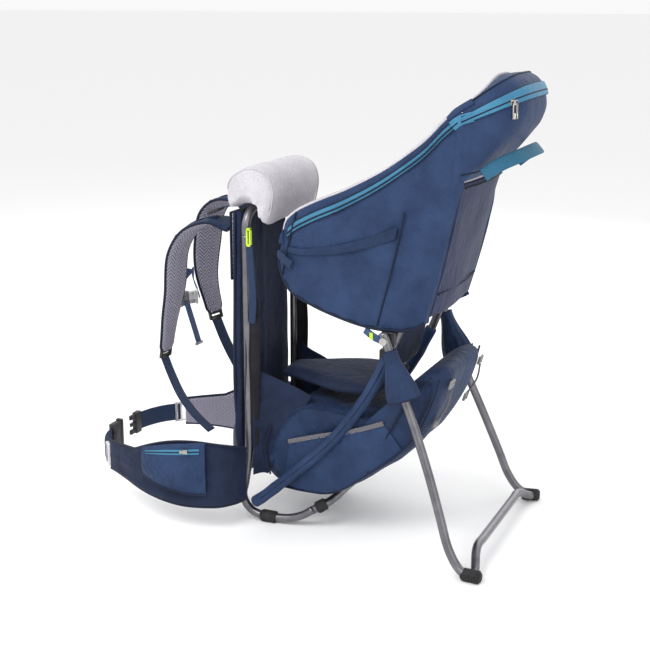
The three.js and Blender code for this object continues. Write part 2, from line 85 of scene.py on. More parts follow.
# ---- Camera, light and floor -----------------------------------------------------------------
CAMERA_AZIMUTH = math.radians(113.27)
CAMERA_ELEVATION = math.radians(14.49)
CAMERA_DISTANCE = 2456
CAMERA_TARGET = (15, 120, 380)
LENS = 71.4
SENSOR_WIDTH = 36


def camera():
    back = np.array(
        [
            math.sin(CAMERA_AZIMUTH) * math.cos(CAMERA_ELEVATION),
            -math.cos(CAMERA_AZIMUTH) * math.cos(CAMERA_ELEVATION),
            math.sin(CAMERA_ELEVATION),
        ]
    )
    place = row(np.array(CAMERA_TARGET) + back * CAMERA_DISTANCE)
    data = bpy.data.cameras.new("camera")
    data.lens = LENS
    data.sensor_width = SENSOR_WIDTH
    made = bpy.data.objects.new("camera", data)
    made.location = place
    made.rotation_euler = Vector(back).to_track_quat("Z", "Y").to_euler()
    bpy.context.scene.collection.objects.link(made)
    bpy.context.scene.camera = made


def light(name, place, target, size, power):
    data = bpy.data.lights.new(name, "AREA")
    data.size = size
    data.energy = power
    made = bpy.data.objects.new(name, data)
    made.location = place
    made.rotation_euler = (Vector(place) - Vector(target)).to_track_quat("Z", "Y").to_euler()
    bpy.context.scene.collection.objects.link(made)


def studio():
    middle = (0, 0, 0.45)
    light("key", (2.2, -0.6, 2.6), middle, 1.6, 56)
    light("fill", (1.6, 2.6, 1.3), middle, 2.4, 20)
    light("far_side", (-2.4, 0.8, 1.8), middle, 2.4, 24)
    light("front", (-0.4, -2.6, 1.6), middle, 2.2, 18)
    world = bpy.data.worlds.new("studio")
    world.use_nodes = True
    background = world.node_tree.nodes["Background"]
    background.inputs["Color"].default_value = (1, 1, 1, 1)
    background.inputs["Strength"].default_value = 0.95
    bpy.context.scene.world = world
    bpy.context.scene.view_settings.view_transform = "Standard"
    mesh = bpy.data.meshes.new("floor")
    mesh.from_pydata([(-60, -60, 0), (60, -60, 0), (60, 60, 0), (-60, 60, 0)], [], [(0, 1, 2, 3)])
    floor = bpy.data.objects.new("floor", mesh)
    bpy.context.scene.collection.objects.link(floor)
    floor.data.materials.append(plain("floor_paper", (0.93, 0.93, 0.93), 0.9))


# ---- Materials -------------------------------------------------------------------------------
def shader(name, roughness, metallic=0.0, sheen=0.0, coat=0.0, specular=0.4):
    """A new material, its node tree and its main shader."""
    made = bpy.data.materials.new(name)
    made.use_nodes = True
    tree = made.node_tree
    main = tree.nodes["Principled BSDF"]
    main.inputs["Roughness"].default_value = roughness
    main.inputs["Metallic"].default_value = metallic
    main.inputs["Sheen Weight"].default_value = sheen
    main.inputs["Sheen Roughness"].default_value = 0.4
    main.inputs["Coat Weight"].default_value = coat
    main.inputs["Specular IOR Level"].default_value = specular
    return made, tree, main


def plain(name, color, roughness):
    made, _, main = shader(name, roughness)
    main.inputs["Base Color"].default_value = (*color, 1)
    return made


def node(tree, kind, **inputs):
    made = tree.nodes.new(kind)
    for key, value in inputs.items():
        made.inputs[key.replace("_", " ")].default_value = value
    return made


def coordinates(tree, kind="Object"):
    return tree.nodes.new("ShaderNodeTexCoord").outputs[kind]


def noise(tree, scale, detail=4.0, rough=0.55, kind="Object", stretch=(1, 1, 1)):
    mapping = tree.nodes.new("ShaderNodeMapping")
    mapping.inputs["Scale"].default_value = stretch
    tree.links.new(coordinates(tree, kind), mapping.inputs["Vector"])
    made = node(tree, "ShaderNodeTexNoise", Scale=scale, Detail=detail, Roughness=rough)
    tree.links.new(mapping.outputs[0], made.inputs["Vector"])
    return made.outputs["Fac"]


def math_node(tree, operation, a, b=0.5):
    made = tree.nodes.new("ShaderNodeMath")
    made.operation = operation
    for socket, value in zip(made.inputs, (a, b)):
        if isinstance(value, (int, float)):
            socket.default_value = value
        else:
            tree.links.new(value, socket)
    return made.outputs[0]


# A wave texture of scale 1 repeats after this length, in metres.
WAVE_PERIOD = 0.31416


def bands(tree, period, axis, kind="UV", profile="SIN"):
    """Stripes with a period in metres."""
    made = node(tree, "ShaderNodeTexWave", Scale=WAVE_PERIOD / period, Distortion=0.0)
    made.bands_direction = axis
    made.wave_profile = profile
    tree.links.new(coordinates(tree, kind), made.inputs["Vector"])
    return made.outputs["Fac"]


def dye(tree, main, factor, low, high, spread=(0.3, 0.7)):
    """The base colour, from low to high as the factor crosses its spread."""
    ramp = tree.nodes.new("ShaderNodeValToRGB")
    ramp.color_ramp.elements[0].position = spread[0]
    ramp.color_ramp.elements[1].position = spread[1]
    ramp.color_ramp.elements[0].color = (*low, 1)
    ramp.color_ramp.elements[1].color = (*high, 1)
    tree.links.new(factor, ramp.inputs["Fac"])
    tree.links.new(ramp.outputs["Color"], main.inputs["Base Color"])


def weighted(tree, a, a_share, b, b_share):
    """Two factors, added by their shares."""
    first = math_node(tree, "MULTIPLY", a, a_share)
    return math_node(tree, "ADD", first, math_node(tree, "MULTIPLY", b, b_share))


def bump(tree, main, layers):
    """Chains bump layers: (height, strength, distance in metres)."""
    normal = None
    for height, strength, distance in layers:
        made = node(tree, "ShaderNodeBump", Strength=strength, Distance=distance)
        tree.links.new(height, made.inputs["Height"])
        if normal is not None:
            tree.links.new(normal, made.inputs["Normal"])
        normal = made.outputs["Normal"]
    tree.links.new(normal, main.inputs["Normal"])


def vary_roughness(tree, main, factor, low, high):
    ranged = tree.nodes.new("ShaderNodeMapRange")
    ranged.inputs["To Min"].default_value = low
    ranged.inputs["To Max"].default_value = high
    tree.links.new(factor, ranged.inputs["Value"])
    tree.links.new(ranged.outputs[0], main.inputs["Roughness"])


def woven(name, dark, light_tone, weave=0.0009, crumple=0.5, roughness=0.62, sheen=0.03):
    """Woven polyester: a fine plain weave, soft crumples and a slightly uneven dye."""
    made, tree, main = shader(name, roughness, sheen=sheen, specular=0.22)
    across = bands(tree, weave, "X")
    along = bands(tree, weave, "Y")
    thread = math_node(tree, "MULTIPLY", across, along)
    patches = noise(tree, 14, 5, 0.6)
    fine = noise(tree, 420, 2, 0.5)
    mottled = weighted(tree, patches, 0.8, fine, 0.2)
    dye(tree, main, mottled, dark, light_tone, (0.36, 0.62))
    vary_roughness(tree, main, patches, roughness - 0.08, roughness + 0.12)
    folds = noise(tree, 32, 5, 0.6, stretch=(1, 1, 0.6))
    bump(tree, main, [(folds, crumple, 0.014), (thread, 0.35, 0.0003)])
    return made


def ribbed(name, dark, light_tone, rib=0.0022, roughness=0.6):
    """Webbing: ribs across its length and a herringbone of threads."""
    made, tree, main = shader(name, roughness, sheen=0.04, specular=0.22)
    across = bands(tree, rib, "Y")
    edge = bands(tree, 0.0014, "X")
    tone = weighted(tree, across, 0.6, noise(tree, 260, 3), 0.4)
    dye(tree, main, tone, dark, light_tone, (0.2, 0.8))
    vary_roughness(tree, main, noise(tree, 40), roughness - 0.06, roughness + 0.1)
    bump(tree, main, [(across, 0.5, 0.0006), (edge, 0.25, 0.0003)])
    return made


def spacer_mesh(name, dark, light_tone):
    """Spacer mesh with a chevron knit that runs along the strap."""
    made, tree, main = shader(name, 0.9, sheen=0.12, specular=0.2)
    split = tree.nodes.new("ShaderNodeSeparateXYZ")
    tree.links.new(coordinates(tree, "UV"), split.inputs[0])
    folded = math_node(tree, "PINGPONG", split.outputs[0], 0.011)
    slope = math_node(tree, "ADD", split.outputs[1], folded)
    ridge = math_node(tree, "PINGPONG", slope, 0.0036)
    height = math_node(tree, "MULTIPLY", ridge, 1 / 0.0036)
    tiny = noise(tree, 900, 2)
    tone = weighted(tree, height, 0.75, tiny, 0.3)
    dye(tree, main, tone, dark, light_tone, (0.15, 0.8))
    bump(tree, main, [(height, 0.7, 0.0012), (tiny, 0.3, 0.0004)])
    return made


def knit(name, dark, light_tone):
    """Soft heathered jersey with a brushed face."""
    made, tree, main = shader(name, 0.95, sheen=0.2, specular=0.2)
    flecks = noise(tree, 380, 3, 0.7, stretch=(1, 1, 2.2))
    patches = noise(tree, 9, 4)
    tone = weighted(tree, flecks, 0.6, patches, 0.4)
    dye(tree, main, tone, dark, light_tone, (0.38, 0.6))
    loops = bands(tree, 0.0016, "X")
    vary_roughness(tree, main, patches, 0.85, 1.0)
    bump(tree, main, [(noise(tree, 26, 4), 0.5, 0.005), (loops, 0.3, 0.0004), (flecks, 0.4, 0.0006)])
    return made


def moulded(name, dark, light_tone, roughness=0.42, grain=0.3):
    """Moulded plastic or rubber with a fine spark-eroded grain and rubbed patches."""
    made, tree, main = shader(name, roughness)
    wear = noise(tree, 55, 5)
    grains = noise(tree, 1400, 2)
    dye(tree, main, wear, dark, light_tone, (0.4, 0.66))
    vary_roughness(tree, main, wear, roughness - 0.1, roughness + 0.15)
    bump(tree, main, [(grains, grain, 0.0002), (wear, 0.1, 0.0006)])
    return made


def anodised(name, dark, light_tone, roughness=0.3):
    """Anodised tube: brushed along its length, with faint handling marks."""
    made, tree, main = shader(name, roughness, metallic=0.9, coat=0.15)
    streaks = noise(tree, 240, 3, 0.6, kind="UV", stretch=(6, 0.15, 1))
    marks = noise(tree, 28, 6, 0.7)
    dye(tree, main, marks, dark, light_tone, (0.35, 0.7))
    vary_roughness(tree, main, marks, roughness - 0.07, roughness + 0.14)
    bump(tree, main, [(streaks, 0.12, 0.0002), (marks, 0.08, 0.0008)])
    return made


NAVY = ((0.010, 0.024, 0.070), (0.021, 0.045, 0.112))
MATERIALS = {
    "navy": woven("navy_polyester", *NAVY),
    "navy_soft": woven("navy_soft_polyester", (0.008, 0.019, 0.056), (0.017, 0.036, 0.090), crumple=0.75),
    "rear": woven("rear_panel_polyester", (0.011, 0.017, 0.052), (0.022, 0.031, 0.080), roughness=0.6),
    "deep": woven("deep_navy_polyester", (0.005, 0.010, 0.030), (0.012, 0.021, 0.054), roughness=0.72),
    "black_cloth": woven("black_lining", (0.006, 0.006, 0.009), (0.016, 0.016, 0.021), roughness=0.85),
    "teal": woven(
        "teal_tape", (0.028, 0.135, 0.245), (0.055, 0.205, 0.335), weave=0.0012, crumple=0.1,
        roughness=0.55,
    ),
    "teal_dark": ribbed("teal_webbing", (0.012, 0.070, 0.130), (0.036, 0.160, 0.260), rib=0.0016),
    "jersey": knit("grey_jersey", (0.330, 0.315, 0.350), (0.560, 0.540, 0.580)),
    "mesh": spacer_mesh("lilac_spacer_mesh", (0.120, 0.115, 0.155), (0.360, 0.345, 0.420)),
    "webbing": ribbed("navy_webbing", (0.007, 0.015, 0.042), (0.024, 0.046, 0.105)),
    "webbing_blue": ribbed("blue_webbing", (0.020, 0.045, 0.115), (0.060, 0.110, 0.230), rib=0.0018),
    "elastic": ribbed("grey_elastic", (0.060, 0.058, 0.070), (0.190, 0.180, 0.200), rib=0.0028),
    "binding": ribbed("dark_binding", (0.003, 0.007, 0.020), (0.010, 0.017, 0.042), rib=0.0012),
    "tube": anodised("dark_anodised_tube", (0.120, 0.118, 0.132), (0.200, 0.196, 0.214)),
    "steel": anodised("nickel_zip_metal", (0.300, 0.285, 0.270), (0.520, 0.500, 0.480), 0.34),
    "black": moulded("black_plastic", (0.012, 0.012, 0.014), (0.035, 0.035, 0.040)),
    "grey": moulded("grey_plastic", (0.150, 0.150, 0.155), (0.290, 0.290, 0.300)),
    "pale": moulded("pale_plastic", (0.520, 0.510, 0.520), (0.760, 0.750, 0.760)),
    "lime": moulded("lime_plastic", (0.440, 0.640, 0.020), (0.620, 0.820, 0.060), 0.3, 0.1),
    "rubber": moulded("black_rubber", (0.008, 0.008, 0.009), (0.026, 0.026, 0.028), 0.75, 0.6),
}

# A slot name for each material, unless a piece names its own; piece() looks it up but keeps it nowhere.
# Bindings and seams have none.
SLOTS = {
    "navy": "navy_fabric", "navy_soft": "navy_fabric", "rear": "navy_fabric",
    "deep": "dark_navy_fabric", "black_cloth": "dark_navy_fabric",
    "teal": "teal_webbing", "teal_dark": "teal_webbing",
    "webbing": "navy_webbing", "webbing_blue": "navy_webbing", "elastic": "navy_webbing",
    "jersey": "jersey", "mesh": "spacer_mesh", "tube": "frame_tube", "steel": "steel", "rubber": "rubber",
    "black": "black_plastic", "grey": "grey_plastic", "pale": "grey_plastic", "lime": "lime_plastic",
}


# ---- Curves and meshes -----------------------------------------------------------------------
def unit(v):
    v = np.asarray(v, float)
    return v / np.maximum(np.linalg.norm(v, axis=-1, keepdims=True), 1e-9)


def smooth(a, b, t):
    t = np.clip((np.asarray(t, float) - a) / (b - a), 0, 1)
    return t * t * (3 - 2 * t)


def mix(a, b, t):
    return a + (b - a) * t


def mirrored(points, sign):
    return np.array(points, float) * (sign, 1, 1)


def across_middle(half):
    """A symmetric route from its left half, which ends on x = 0."""
    half = np.array(half, float)
    return np.vstack([half, (half[:-1] * (-1, 1, 1))[::-1]])


def spline(points, count=60):
    """A centripetal Catmull-Rom curve, sampled evenly along its length."""
    p = np.array(points, float)
    p = np.vstack([2 * p[0] - p[1], p, 2 * p[-1] - p[-2]])
    line = []
    for a, b, c, d in zip(p, p[1:], p[2:], p[3:]):
        t1 = math.sqrt(np.linalg.norm(b - a))
        t2 = t1 + math.sqrt(np.linalg.norm(c - b))
        t3 = t2 + math.sqrt(np.linalg.norm(d - c))
        t = np.linspace(t1, t2, 14)[:, None]
        e = (t1 - t) / t1 * a + t / t1 * b
        f = (t2 - t) / (t2 - t1) * b + (t - t1) / (t2 - t1) * c
        g = (t3 - t) / (t3 - t2) * c + (t - t2) / (t3 - t2) * d
        h = (t2 - t) / t2 * e + t / t2 * f
        k = (t3 - t) / (t3 - t1) * f + (t - t1) / (t3 - t1) * g
        line.append((t2 - t) / (t2 - t1) * h + (t - t1) / (t2 - t1) * k)
    line = np.vstack(line)
    steps = distances(line)
    even = np.linspace(0, steps[-1], count)
    return np.stack([np.interp(even, steps, line[:, k]) for k in range(line.shape[1])], 1)


def distances(line):
    """Each point's distance along a line from its start."""
    return np.r_[0, np.cumsum(np.linalg.norm(np.diff(line, axis=0), axis=1))]


def grid(first, second):
    """Two crossed ranges, each (start, end, count), as the coordinates of a grid of points."""
    return np.meshgrid(np.linspace(*first), np.linspace(*second), indexing="ij")


def at(line, t):
    """Points at shares t along an evenly sampled line."""
    where = np.clip(np.asarray(t, float), 0, 1) * (len(line) - 1)
    return np.stack([np.interp(where, np.arange(len(line)), line[:, k]) for k in range(line.shape[1])], -1)


def ripple(p, size, seed=0.0):
    """Smooth, repeatable waves in space, from about -1 to 1."""
    x, y, z = np.moveaxis(np.asarray(p, float) / size, -1, 0)
    first = np.sin(x * 1.3 + 2.1 * np.sin(y * 0.9 + seed) + z * 0.7)
    second = np.sin(y * 1.7 + 1.7 * np.sin(z * 1.1 + 2 * seed) - x * 0.6)
    return 0.5 * (first + np.sin(z * 1.5 + 1.3 * second + seed))


def piece(name, body, vertices, faces, material, slot=None, uvs=None, level=0, replaces=()):
    """A smooth-shaded mesh in the part's frame that rides on a body."""
    mesh = bpy.data.meshes.new(name)
    mesh.from_pydata(row(vertices).tolist(), [], [list(map(int, f)) for f in faces])
    mesh.validate()
    made = bpy.data.objects.new(name, mesh)
    bpy.context.scene.collection.objects.link(made)
    mesh.materials.append(MATERIALS[material])
    mesh.polygons.foreach_set("use_smooth", [True] * len(mesh.polygons))
    if uvs is not None:
        layer = mesh.uv_layers.new(name="UVMap")
        corner = np.zeros(len(mesh.loops), np.int32)
        mesh.loops.foreach_get("vertex_index", corner)
        layer.data.foreach_set("uv", (np.array(uvs) * MM)[corner].astype(np.float32).ravel())
    if level:
        modifier = made.modifiers.new("smooth", "SUBSURF")
        modifier.levels = level
        modifier.render_levels = level
    if body:
        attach(made, body)
    slot = slot or SLOTS.get(material)
    if replaces:
        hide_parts(*replaces)
    return made


def grid_faces(columns, rows, wrap=False):
    """Quads of a (columns x rows) grid of points; wrap joins the last row of points to the first."""
    faces = []
    for i in range(columns - 1):
        for j in range(rows if wrap else rows - 1):
            k = (j + 1) % rows
            faces.append((i * rows + j, (i + 1) * rows + j, (i + 1) * rows + k, i * rows + k))
    return faces


def surface_uv(p):
    """Texture coordinates for a grid of points: its distances along both directions."""
    u = np.linalg.norm(np.diff(p, axis=0), axis=-1).mean(1)
    v = np.linalg.norm(np.diff(p, axis=1), axis=-1).mean(0)
    return np.stack(np.meshgrid(np.r_[0, np.cumsum(v)], np.r_[0, np.cumsum(u)]), -1).reshape(-1, 2)


def two_skins(name, body, face, back, material, flip=False, **options):
    """Two grids of points as the faces of one closed panel, joined along their rims."""
    columns, rows = face.shape[:2]
    n = columns * rows
    faces = grid_faces(columns, rows)
    faces += [tuple(n + k for k in reversed(f)) for f in faces]
    edge = [i * rows for i in range(columns)]
    edge += [(columns - 1) * rows + j for j in range(1, rows)]
    edge += [i * rows + rows - 1 for i in range(columns - 2, -1, -1)]
    edge += list(range(rows - 2, 0, -1))
    for a, b in zip(edge, edge[1:] + edge[:1]):
        faces.append((b, a, n + a, n + b))
    if flip:
        faces = [tuple(reversed(f)) for f in faces]
    uv = surface_uv(face)
    vertices = np.vstack([face.reshape(-1, 3), back.reshape(-1, 3)])
    return piece(name, body, vertices, faces, material, uvs=np.vstack([uv, uv]), **options)


def shell(name, body, points, thickness, material, **options):
    """A grid of points as a closed cloth panel. Its thickness goes against the normal."""
    p = np.array(points, float)
    normal = unit(np.cross(np.gradient(p, axis=0), np.gradient(p, axis=1)))
    return two_skins(name, body, p, p - normal * thickness, material, **options)


def frames(line, across=None):
    """Tangent, side and normal along a line. The side stays near a given direction, if there is one."""
    tangent = unit(np.gradient(line, axis=0))
    if across is not None:
        side = np.broadcast_to(np.asarray(across, float), tangent.shape)
        side = unit(side - (side * tangent).sum(1, keepdims=True) * tangent)
        return tangent, side, np.cross(tangent, side)
    start = np.cross(tangent[0], (0, 0, 1) if abs(tangent[0][2]) < 0.9 else (0, 1, 0))
    sides = [unit(start)]
    for t in tangent[1:]:
        s = sides[-1] - t * (sides[-1] @ t)
        sides.append(unit(s))
    side = np.array(sides)
    return tangent, side, np.cross(tangent, side)


def sweep(name, body, route, section, material, across=None, count=60, scale=None, **options):
    """A closed section carried along a smooth route, with capped ends. Section points are (side, normal)."""
    line = spline(route, count)
    _, side, normal = frames(line, across)
    section = np.array(section, float)
    grow = np.ones((count, 2)) if scale is None else np.array([scale(t) for t in np.linspace(0, 1, count)])
    p = (
        line[:, None]
        + side[:, None] * (section[None, :, :1] * grow[:, None, :1])
        + normal[:, None] * (section[None, :, 1:] * grow[:, None, 1:])
    )
    rows = len(section)
    faces = grid_faces(count, rows, wrap=True)
    faces += [tuple(range(rows)), tuple(reversed(range((count - 1) * rows, count * rows)))]
    along = distances(line)
    around = np.broadcast_to(section[:, 0] + section[:, 0].max(), (count, rows))
    uv = np.stack([around, np.broadcast_to(along[:, None], (count, rows))], -1).reshape(-1, 2)
    return piece(name, body, p.reshape(-1, 3), faces, material, uvs=uv, **options)


def circle(radius, sides=20):
    turn = np.linspace(0, 2 * np.pi, sides, endpoint=False)
    return np.stack([np.cos(turn), np.sin(turn)], 1) * radius


def slab(width, thickness, steps=10, power=5.0):
    """A flat strap's section: a rounded rectangle with slightly soft faces."""
    turn = np.linspace(0, 2 * np.pi, 4 * steps, endpoint=False)
    c, s = np.cos(turn), np.sin(turn)
    x = np.sign(c) * np.abs(c) ** (2 / power) * width / 2
    y = np.sign(s) * np.abs(s) ** (2 / 2.6) * thickness / 2
    return np.stack([x, y], 1)


def cord_line(name, body, points, radius, material, count=80, sides=8, **options):
    return sweep(name, body, points, circle(radius, sides), material, count=count, **options)


def band(name, body, route, width, material, across, thickness=2.4, count=60, **options):
    return sweep(name, body, route, slab(width, thickness), material, across=across, count=count, **options)


def hardware(name, body, parts, centre, axes, material, bevel=1.2, replaces=()):
    """Bevelled plastic pieces joined in one mesh. parts are (size, centre) boxes along the axes given."""
    x, y, z = (unit(a) for a in axes)
    base = bmesh.new()
    for size, place in parts:
        made = bmesh.ops.create_cube(base, size=1)
        for v in made["verts"]:
            local = np.array(v.co) * size + place
            v.co = Vector(np.array(centre) + x * local[0] + y * local[1] + z * local[2])
    bmesh.ops.bevel(base, geom=base.edges[:], offset=bevel, segments=3, profile=0.6, affect="EDGES")
    bmesh.ops.recalc_face_normals(base, faces=base.faces[:])
    vertices = [tuple(v.co) for v in base.verts]
    base.verts.index_update()
    faces = [[v.index for v in f.verts] for f in base.faces]
    base.free()
    return piece(name, body, vertices, faces, material, replaces=replaces)


def ladder(width, height, bar=4.0, depth=6.0):
    """The boxes of a ladder-lock buckle: two side bars and three cross bars."""
    side = [((bar, depth, height), (s * (width - bar) / 2, 0, 0)) for s in (-1, 1)]
    rungs = [((width - bar, depth * 0.7, bar), (0, 0, s * (height - bar) / 2)) for s in (-1, 0, 1)]
    return side + rungs


CLOTH_FRAMES = 20


def cushion(body, made, swell=6.0, voxel=5.0, pressure=4.0):
    """Stuffs a closed mesh by cloth simulation: remesh, inflate a little, cap the move, and smooth once."""
    made.parent = None
    view = bpy.context.view_layer
    view.objects.active = made
    remesh = made.modifiers.new("remesh", "REMESH")
    remesh.mode = "VOXEL"
    remesh.voxel_size = voxel * MM
    view.update()
    mesh = bpy.data.meshes.new_from_object(made.evaluated_get(bpy.context.evaluated_depsgraph_get()))
    made.modifiers.clear()
    made.data = mesh
    start = np.array([v.co for v in mesh.vertices])
    cloth = made.modifiers.new("cloth", "CLOTH")
    cloth.settings.use_pressure = True
    cloth.settings.uniform_pressure_force = pressure
    cloth.settings.effector_weights.gravity = 0
    cloth.settings.quality = 4
    cloth.point_cache.frame_start = 1
    cloth.point_cache.frame_end = CLOTH_FRAMES
    for step in range(1, CLOTH_FRAMES + 1):
        bpy.context.scene.frame_set(step)
    settled = made.evaluated_get(bpy.context.evaluated_depsgraph_get())
    moved = np.array([v.co for v in settled.data.vertices])
    made.modifiers.clear()
    bpy.context.scene.frame_set(1)
    shift = moved - start
    far = np.linalg.norm(shift, axis=1, keepdims=True)
    shift *= np.minimum(1, swell * MM / np.maximum(far, 1e-9))
    mesh.vertices.foreach_set("co", (start + shift).astype(np.float32).ravel())
    mesh.polygons.foreach_set("use_smooth", [True] * len(mesh.polygons))
    modifier = made.modifiers.new("smooth", "SUBSURF")
    modifier.levels = 1
    modifier.render_levels = 1
    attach(made, body)
    return made


# ---- The tube frame --------------------------------------------------------------------------
RUNNER = [
    (105, 0, 560), (105, 0, 400), (105, 0, 240), (105, -1, 130), (105, -9, 76), (105, -14, 46),
    (105, 0, 21), (105, 26, 11), (105, 56, 11), (104, 84, 14), (102, 108, 22), (99, 132, 37),
]
BASE_LOOP = [(98.6, 134, 38.3), (95, 147, 46), (84, 157, 51), (60, 160, 52), (0, 160, 52)]
TOP_BOW = [(105, 0, 560.4), (105, 0, 575), (98, 1, 594), (80, 2, 606), (0, 2, 606)]
REAR_HOOP = [
    (110, 16, 40), (112, 34, 54), (115, 92, 106), (119, 178, 188), (122, 250, 286),
    (123, 288, 360), (121, 308, 410), (115, 324, 438), (98, 333, 450), (60, 334, 452), (0, 334, 452),
]
LEG = [
    (157, 291, 417), (157, 296, 404), (158, 334, 300), (164, 358, 244), (176, 390, 165),
    (188, 415, 98), (196, 432, 52), (202, 451, 23), (206, 467, 12.5), (205, 478, 11),
    (194, 481, 13), (176, 477, 21), (154, 471, 32), (133, 468, 38), (100, 468, 38), (0, 468, 38),
]
PIVOT_Z = 404


def tube(name, body, route, replaces, radius=TUBE_R, count=160):
    return sweep(name, body, route, circle(radius, 24), "tube", count=count, replaces=replaces)


def rubber_boot(name, body, place, along, length, node):
    """A ribbed rubber boot round the tube, cut flat where it stands."""
    along = unit(along)
    rings, sides = 34, 28
    line = np.array(place, float) + along * np.linspace(-length / 2, length / 2, rings)[:, None]
    _, side, normal = frames(line, across=np.cross(along, (0, 0, 1)))
    turn = np.linspace(0, 2 * np.pi, sides, endpoint=False)
    t = np.linspace(-1, 1, rings)
    radius = 12.0 - 3.2 * smooth(0.8, 1.0, np.abs(t)) - 0.6 * (np.sin(t * 22) > 0.3)
    ring = side[:, None] * np.cos(turn)[None, :, None] + normal[:, None] * np.sin(turn)[None, :, None]
    p = line[:, None] + ring * radius[:, None, None]
    p[..., 2] = np.maximum(p[..., 2], 0)
    faces = grid_faces(rings, sides, wrap=True)
    faces += [tuple(range(sides)), tuple(reversed(range((rings - 1) * sides, rings * sides)))]
    return piece(name, body, p.reshape(-1, 3), faces, "rubber", replaces=[node])


def tube_frame():
    for side, sign in SIDES:
        tube(f"rail_tube_{side}", "root", mirrored(RUNNER, sign), [f"frame_rail_{side}"])
        rubber_boot(
            f"base_boot_front_{side}", "root", (sign * 105, 41, 11), (0, 1, 0), 34,
            f"base_pad_front_{side}",
        )
        rubber_boot(
            f"base_boot_rear_{side}", "root", (
                sign * 95, 147, 46,
            ), (sign * -14, 23, 13), 22, f"base_pad_rear_{side}"
        )
        rubber_boot(
            f"stand_boot_{side}", "stand", (sign * 205, 478, 11), (0.12 * sign, 1, 0.02), 36,
            f"kickstand_foot_{side}",
        )
    tube("base_loop_tube", "root", across_middle(BASE_LOOP), ["frame_base_loop"])
    tube("top_bow_tube", "root", across_middle(TOP_BOW), ["frame_top_bow"])
    tube("rear_hoop_tube", "root", across_middle(REAR_HOOP), ["frame_rear_hoop"])
    tube("stand_tube", "stand", across_middle(LEG), ["kickstand"], count=260)


# ---- Cockpit ---------------------------------------------------------------------------------
WALL_BOTTOM = [
    (132, 80, 540), (134, 84, 505), (135, 104, 470), (137, 146, 449), (141, 205, 431),
    (143, 254, 421), (142, 296, 418), (138, 335, 422), (130, 358, 434),
]
WALL_TOP = [
    (135, 89, 563), (135, 95, 597), (138, 116, 617), (141, 156, 638), (142, 214, 663),
    (142, 278, 697), (141, 318, 724), (139, 356, 754), (136, 388, 788), (133, 411, 808),
]
REAR_WALL = [(362, 440), (379, 504), (394, 567), (409, 637), (421, 679)]
HOOD_FRONT_Y = 417
HOOD_REAR = [
    (
        426, 684,
    ), (446, 706), (468, 728), (490, 753), (507, 777), (516, 803), (512, 832), (500, 852), (482, 862),
]
HOOD_SIDE = [(127, 684), (131, 712), (133, 745), (134, 775), (133, 800), (131, 811)]
WALL_LOW = spline(WALL_BOTTOM, 200)
WALL_HIGH = spline(WALL_TOP, 200)
HOOD_REAR_LINE = spline(HOOD_REAR, 200)
HOOD_SIDE_LINE = spline(HOOD_SIDE, 200)
BAND_DEPTH = 21


def wall_point(u, v, sign=1, proud=0.0):
    """The cockpit wall's outer face, from front (u = 0) to hood (u = 1) and bottom to top edge."""
    u, v = np.broadcast_arrays(np.asarray(u, float), np.asarray(v, float))
    p = at(WALL_LOW, u) * (1 - v[..., None]) + at(WALL_HIGH, u) * v[..., None]
    swell = np.sin(np.pi * v)
    p[..., 1] += 19 * swell * smooth(0.6, 1, u)
    p[..., 0] += 5 * swell * np.sin(np.pi * u) + proud
    return p * (sign, 1, 1)


def hood_point(u, v, inset=0.0):
    """The headrest hood, from its left edge (u = 0) round the rear to the right, and bottom to top."""
    u, v = np.broadcast_arrays(np.asarray(u, float), np.asarray(v, float))
    f = at(HOOD_SIDE_LINE, v)
    r = at(HOOD_REAR_LINE, v)
    angle = np.pi * u
    across = np.sign(np.cos(angle)) * np.abs(np.cos(angle)) ** 0.62
    depth = np.clip(np.sin(angle), 0, 1) ** 0.62
    thick = inset * mix(8, 34, depth)
    taper = 1 - 0.24 * depth * v**2
    x = across * (f[..., 0] * taper - thick)
    y = HOOD_FRONT_Y + (r[..., 0] - HOOD_FRONT_Y) * depth - thick * depth
    z = mix(f[..., 1], r[..., 1], depth) + inset * depth * np.where(v < 0.5, 8, -4)
    return np.stack([x, y, z], -1)


def outwards(p, sign):
    """Columns in the order that makes a side panel face outwards."""
    return p if sign > 0 else p[::-1]


def facing(p, middle):
    """A grid turned so that its faces look away from a point."""
    normal = np.cross(np.gradient(p, axis=0), np.gradient(p, axis=1))
    return p if (normal * (p - np.array(middle))).sum() > 0 else p[::-1]


def wall_panel(side, sign):
    """The side wall: a skin gathered at its foot and creased at the rear, and a jersey lining."""
    u, v = grid((0, 1, 90), (0, 1, 34))
    p = wall_point(u, v, sign)
    gather = 2.2 * np.sin(u * 60) * smooth(0.5, 0.1, v) * smooth(0.05, 0.2, u)
    crease = np.sin((p[..., 1] * 0.75 + p[..., 2]) / 11 + 2 * ripple(p, 40, 2.0)) * smooth(0.45, 0.95, u)
    relief = (2.6 * ripple(p, 34, 1.0) + 1.1 * crease) * np.sin(np.pi * v)
    p[..., 0] += sign * (gather * 0.6 + relief)
    skin = outwards(p, sign)
    shell(f"cockpit_side_{side}", "root", skin, 6.5, "navy", level=1, replaces=[f"cockpit_wall_{side}"])
    inner = wall_point(0.02 + 0.95 * u[:, ::2], 0.03 + 0.95 * v[:, ::2], sign, proud=-8.2)
    inner[..., 0] += sign * 1.2 * ripple(inner, 22, 3.0)
    shell(f"cockpit_lining_{side}", "root", outwards(inner, sign), 2.0, "jersey", level=1)


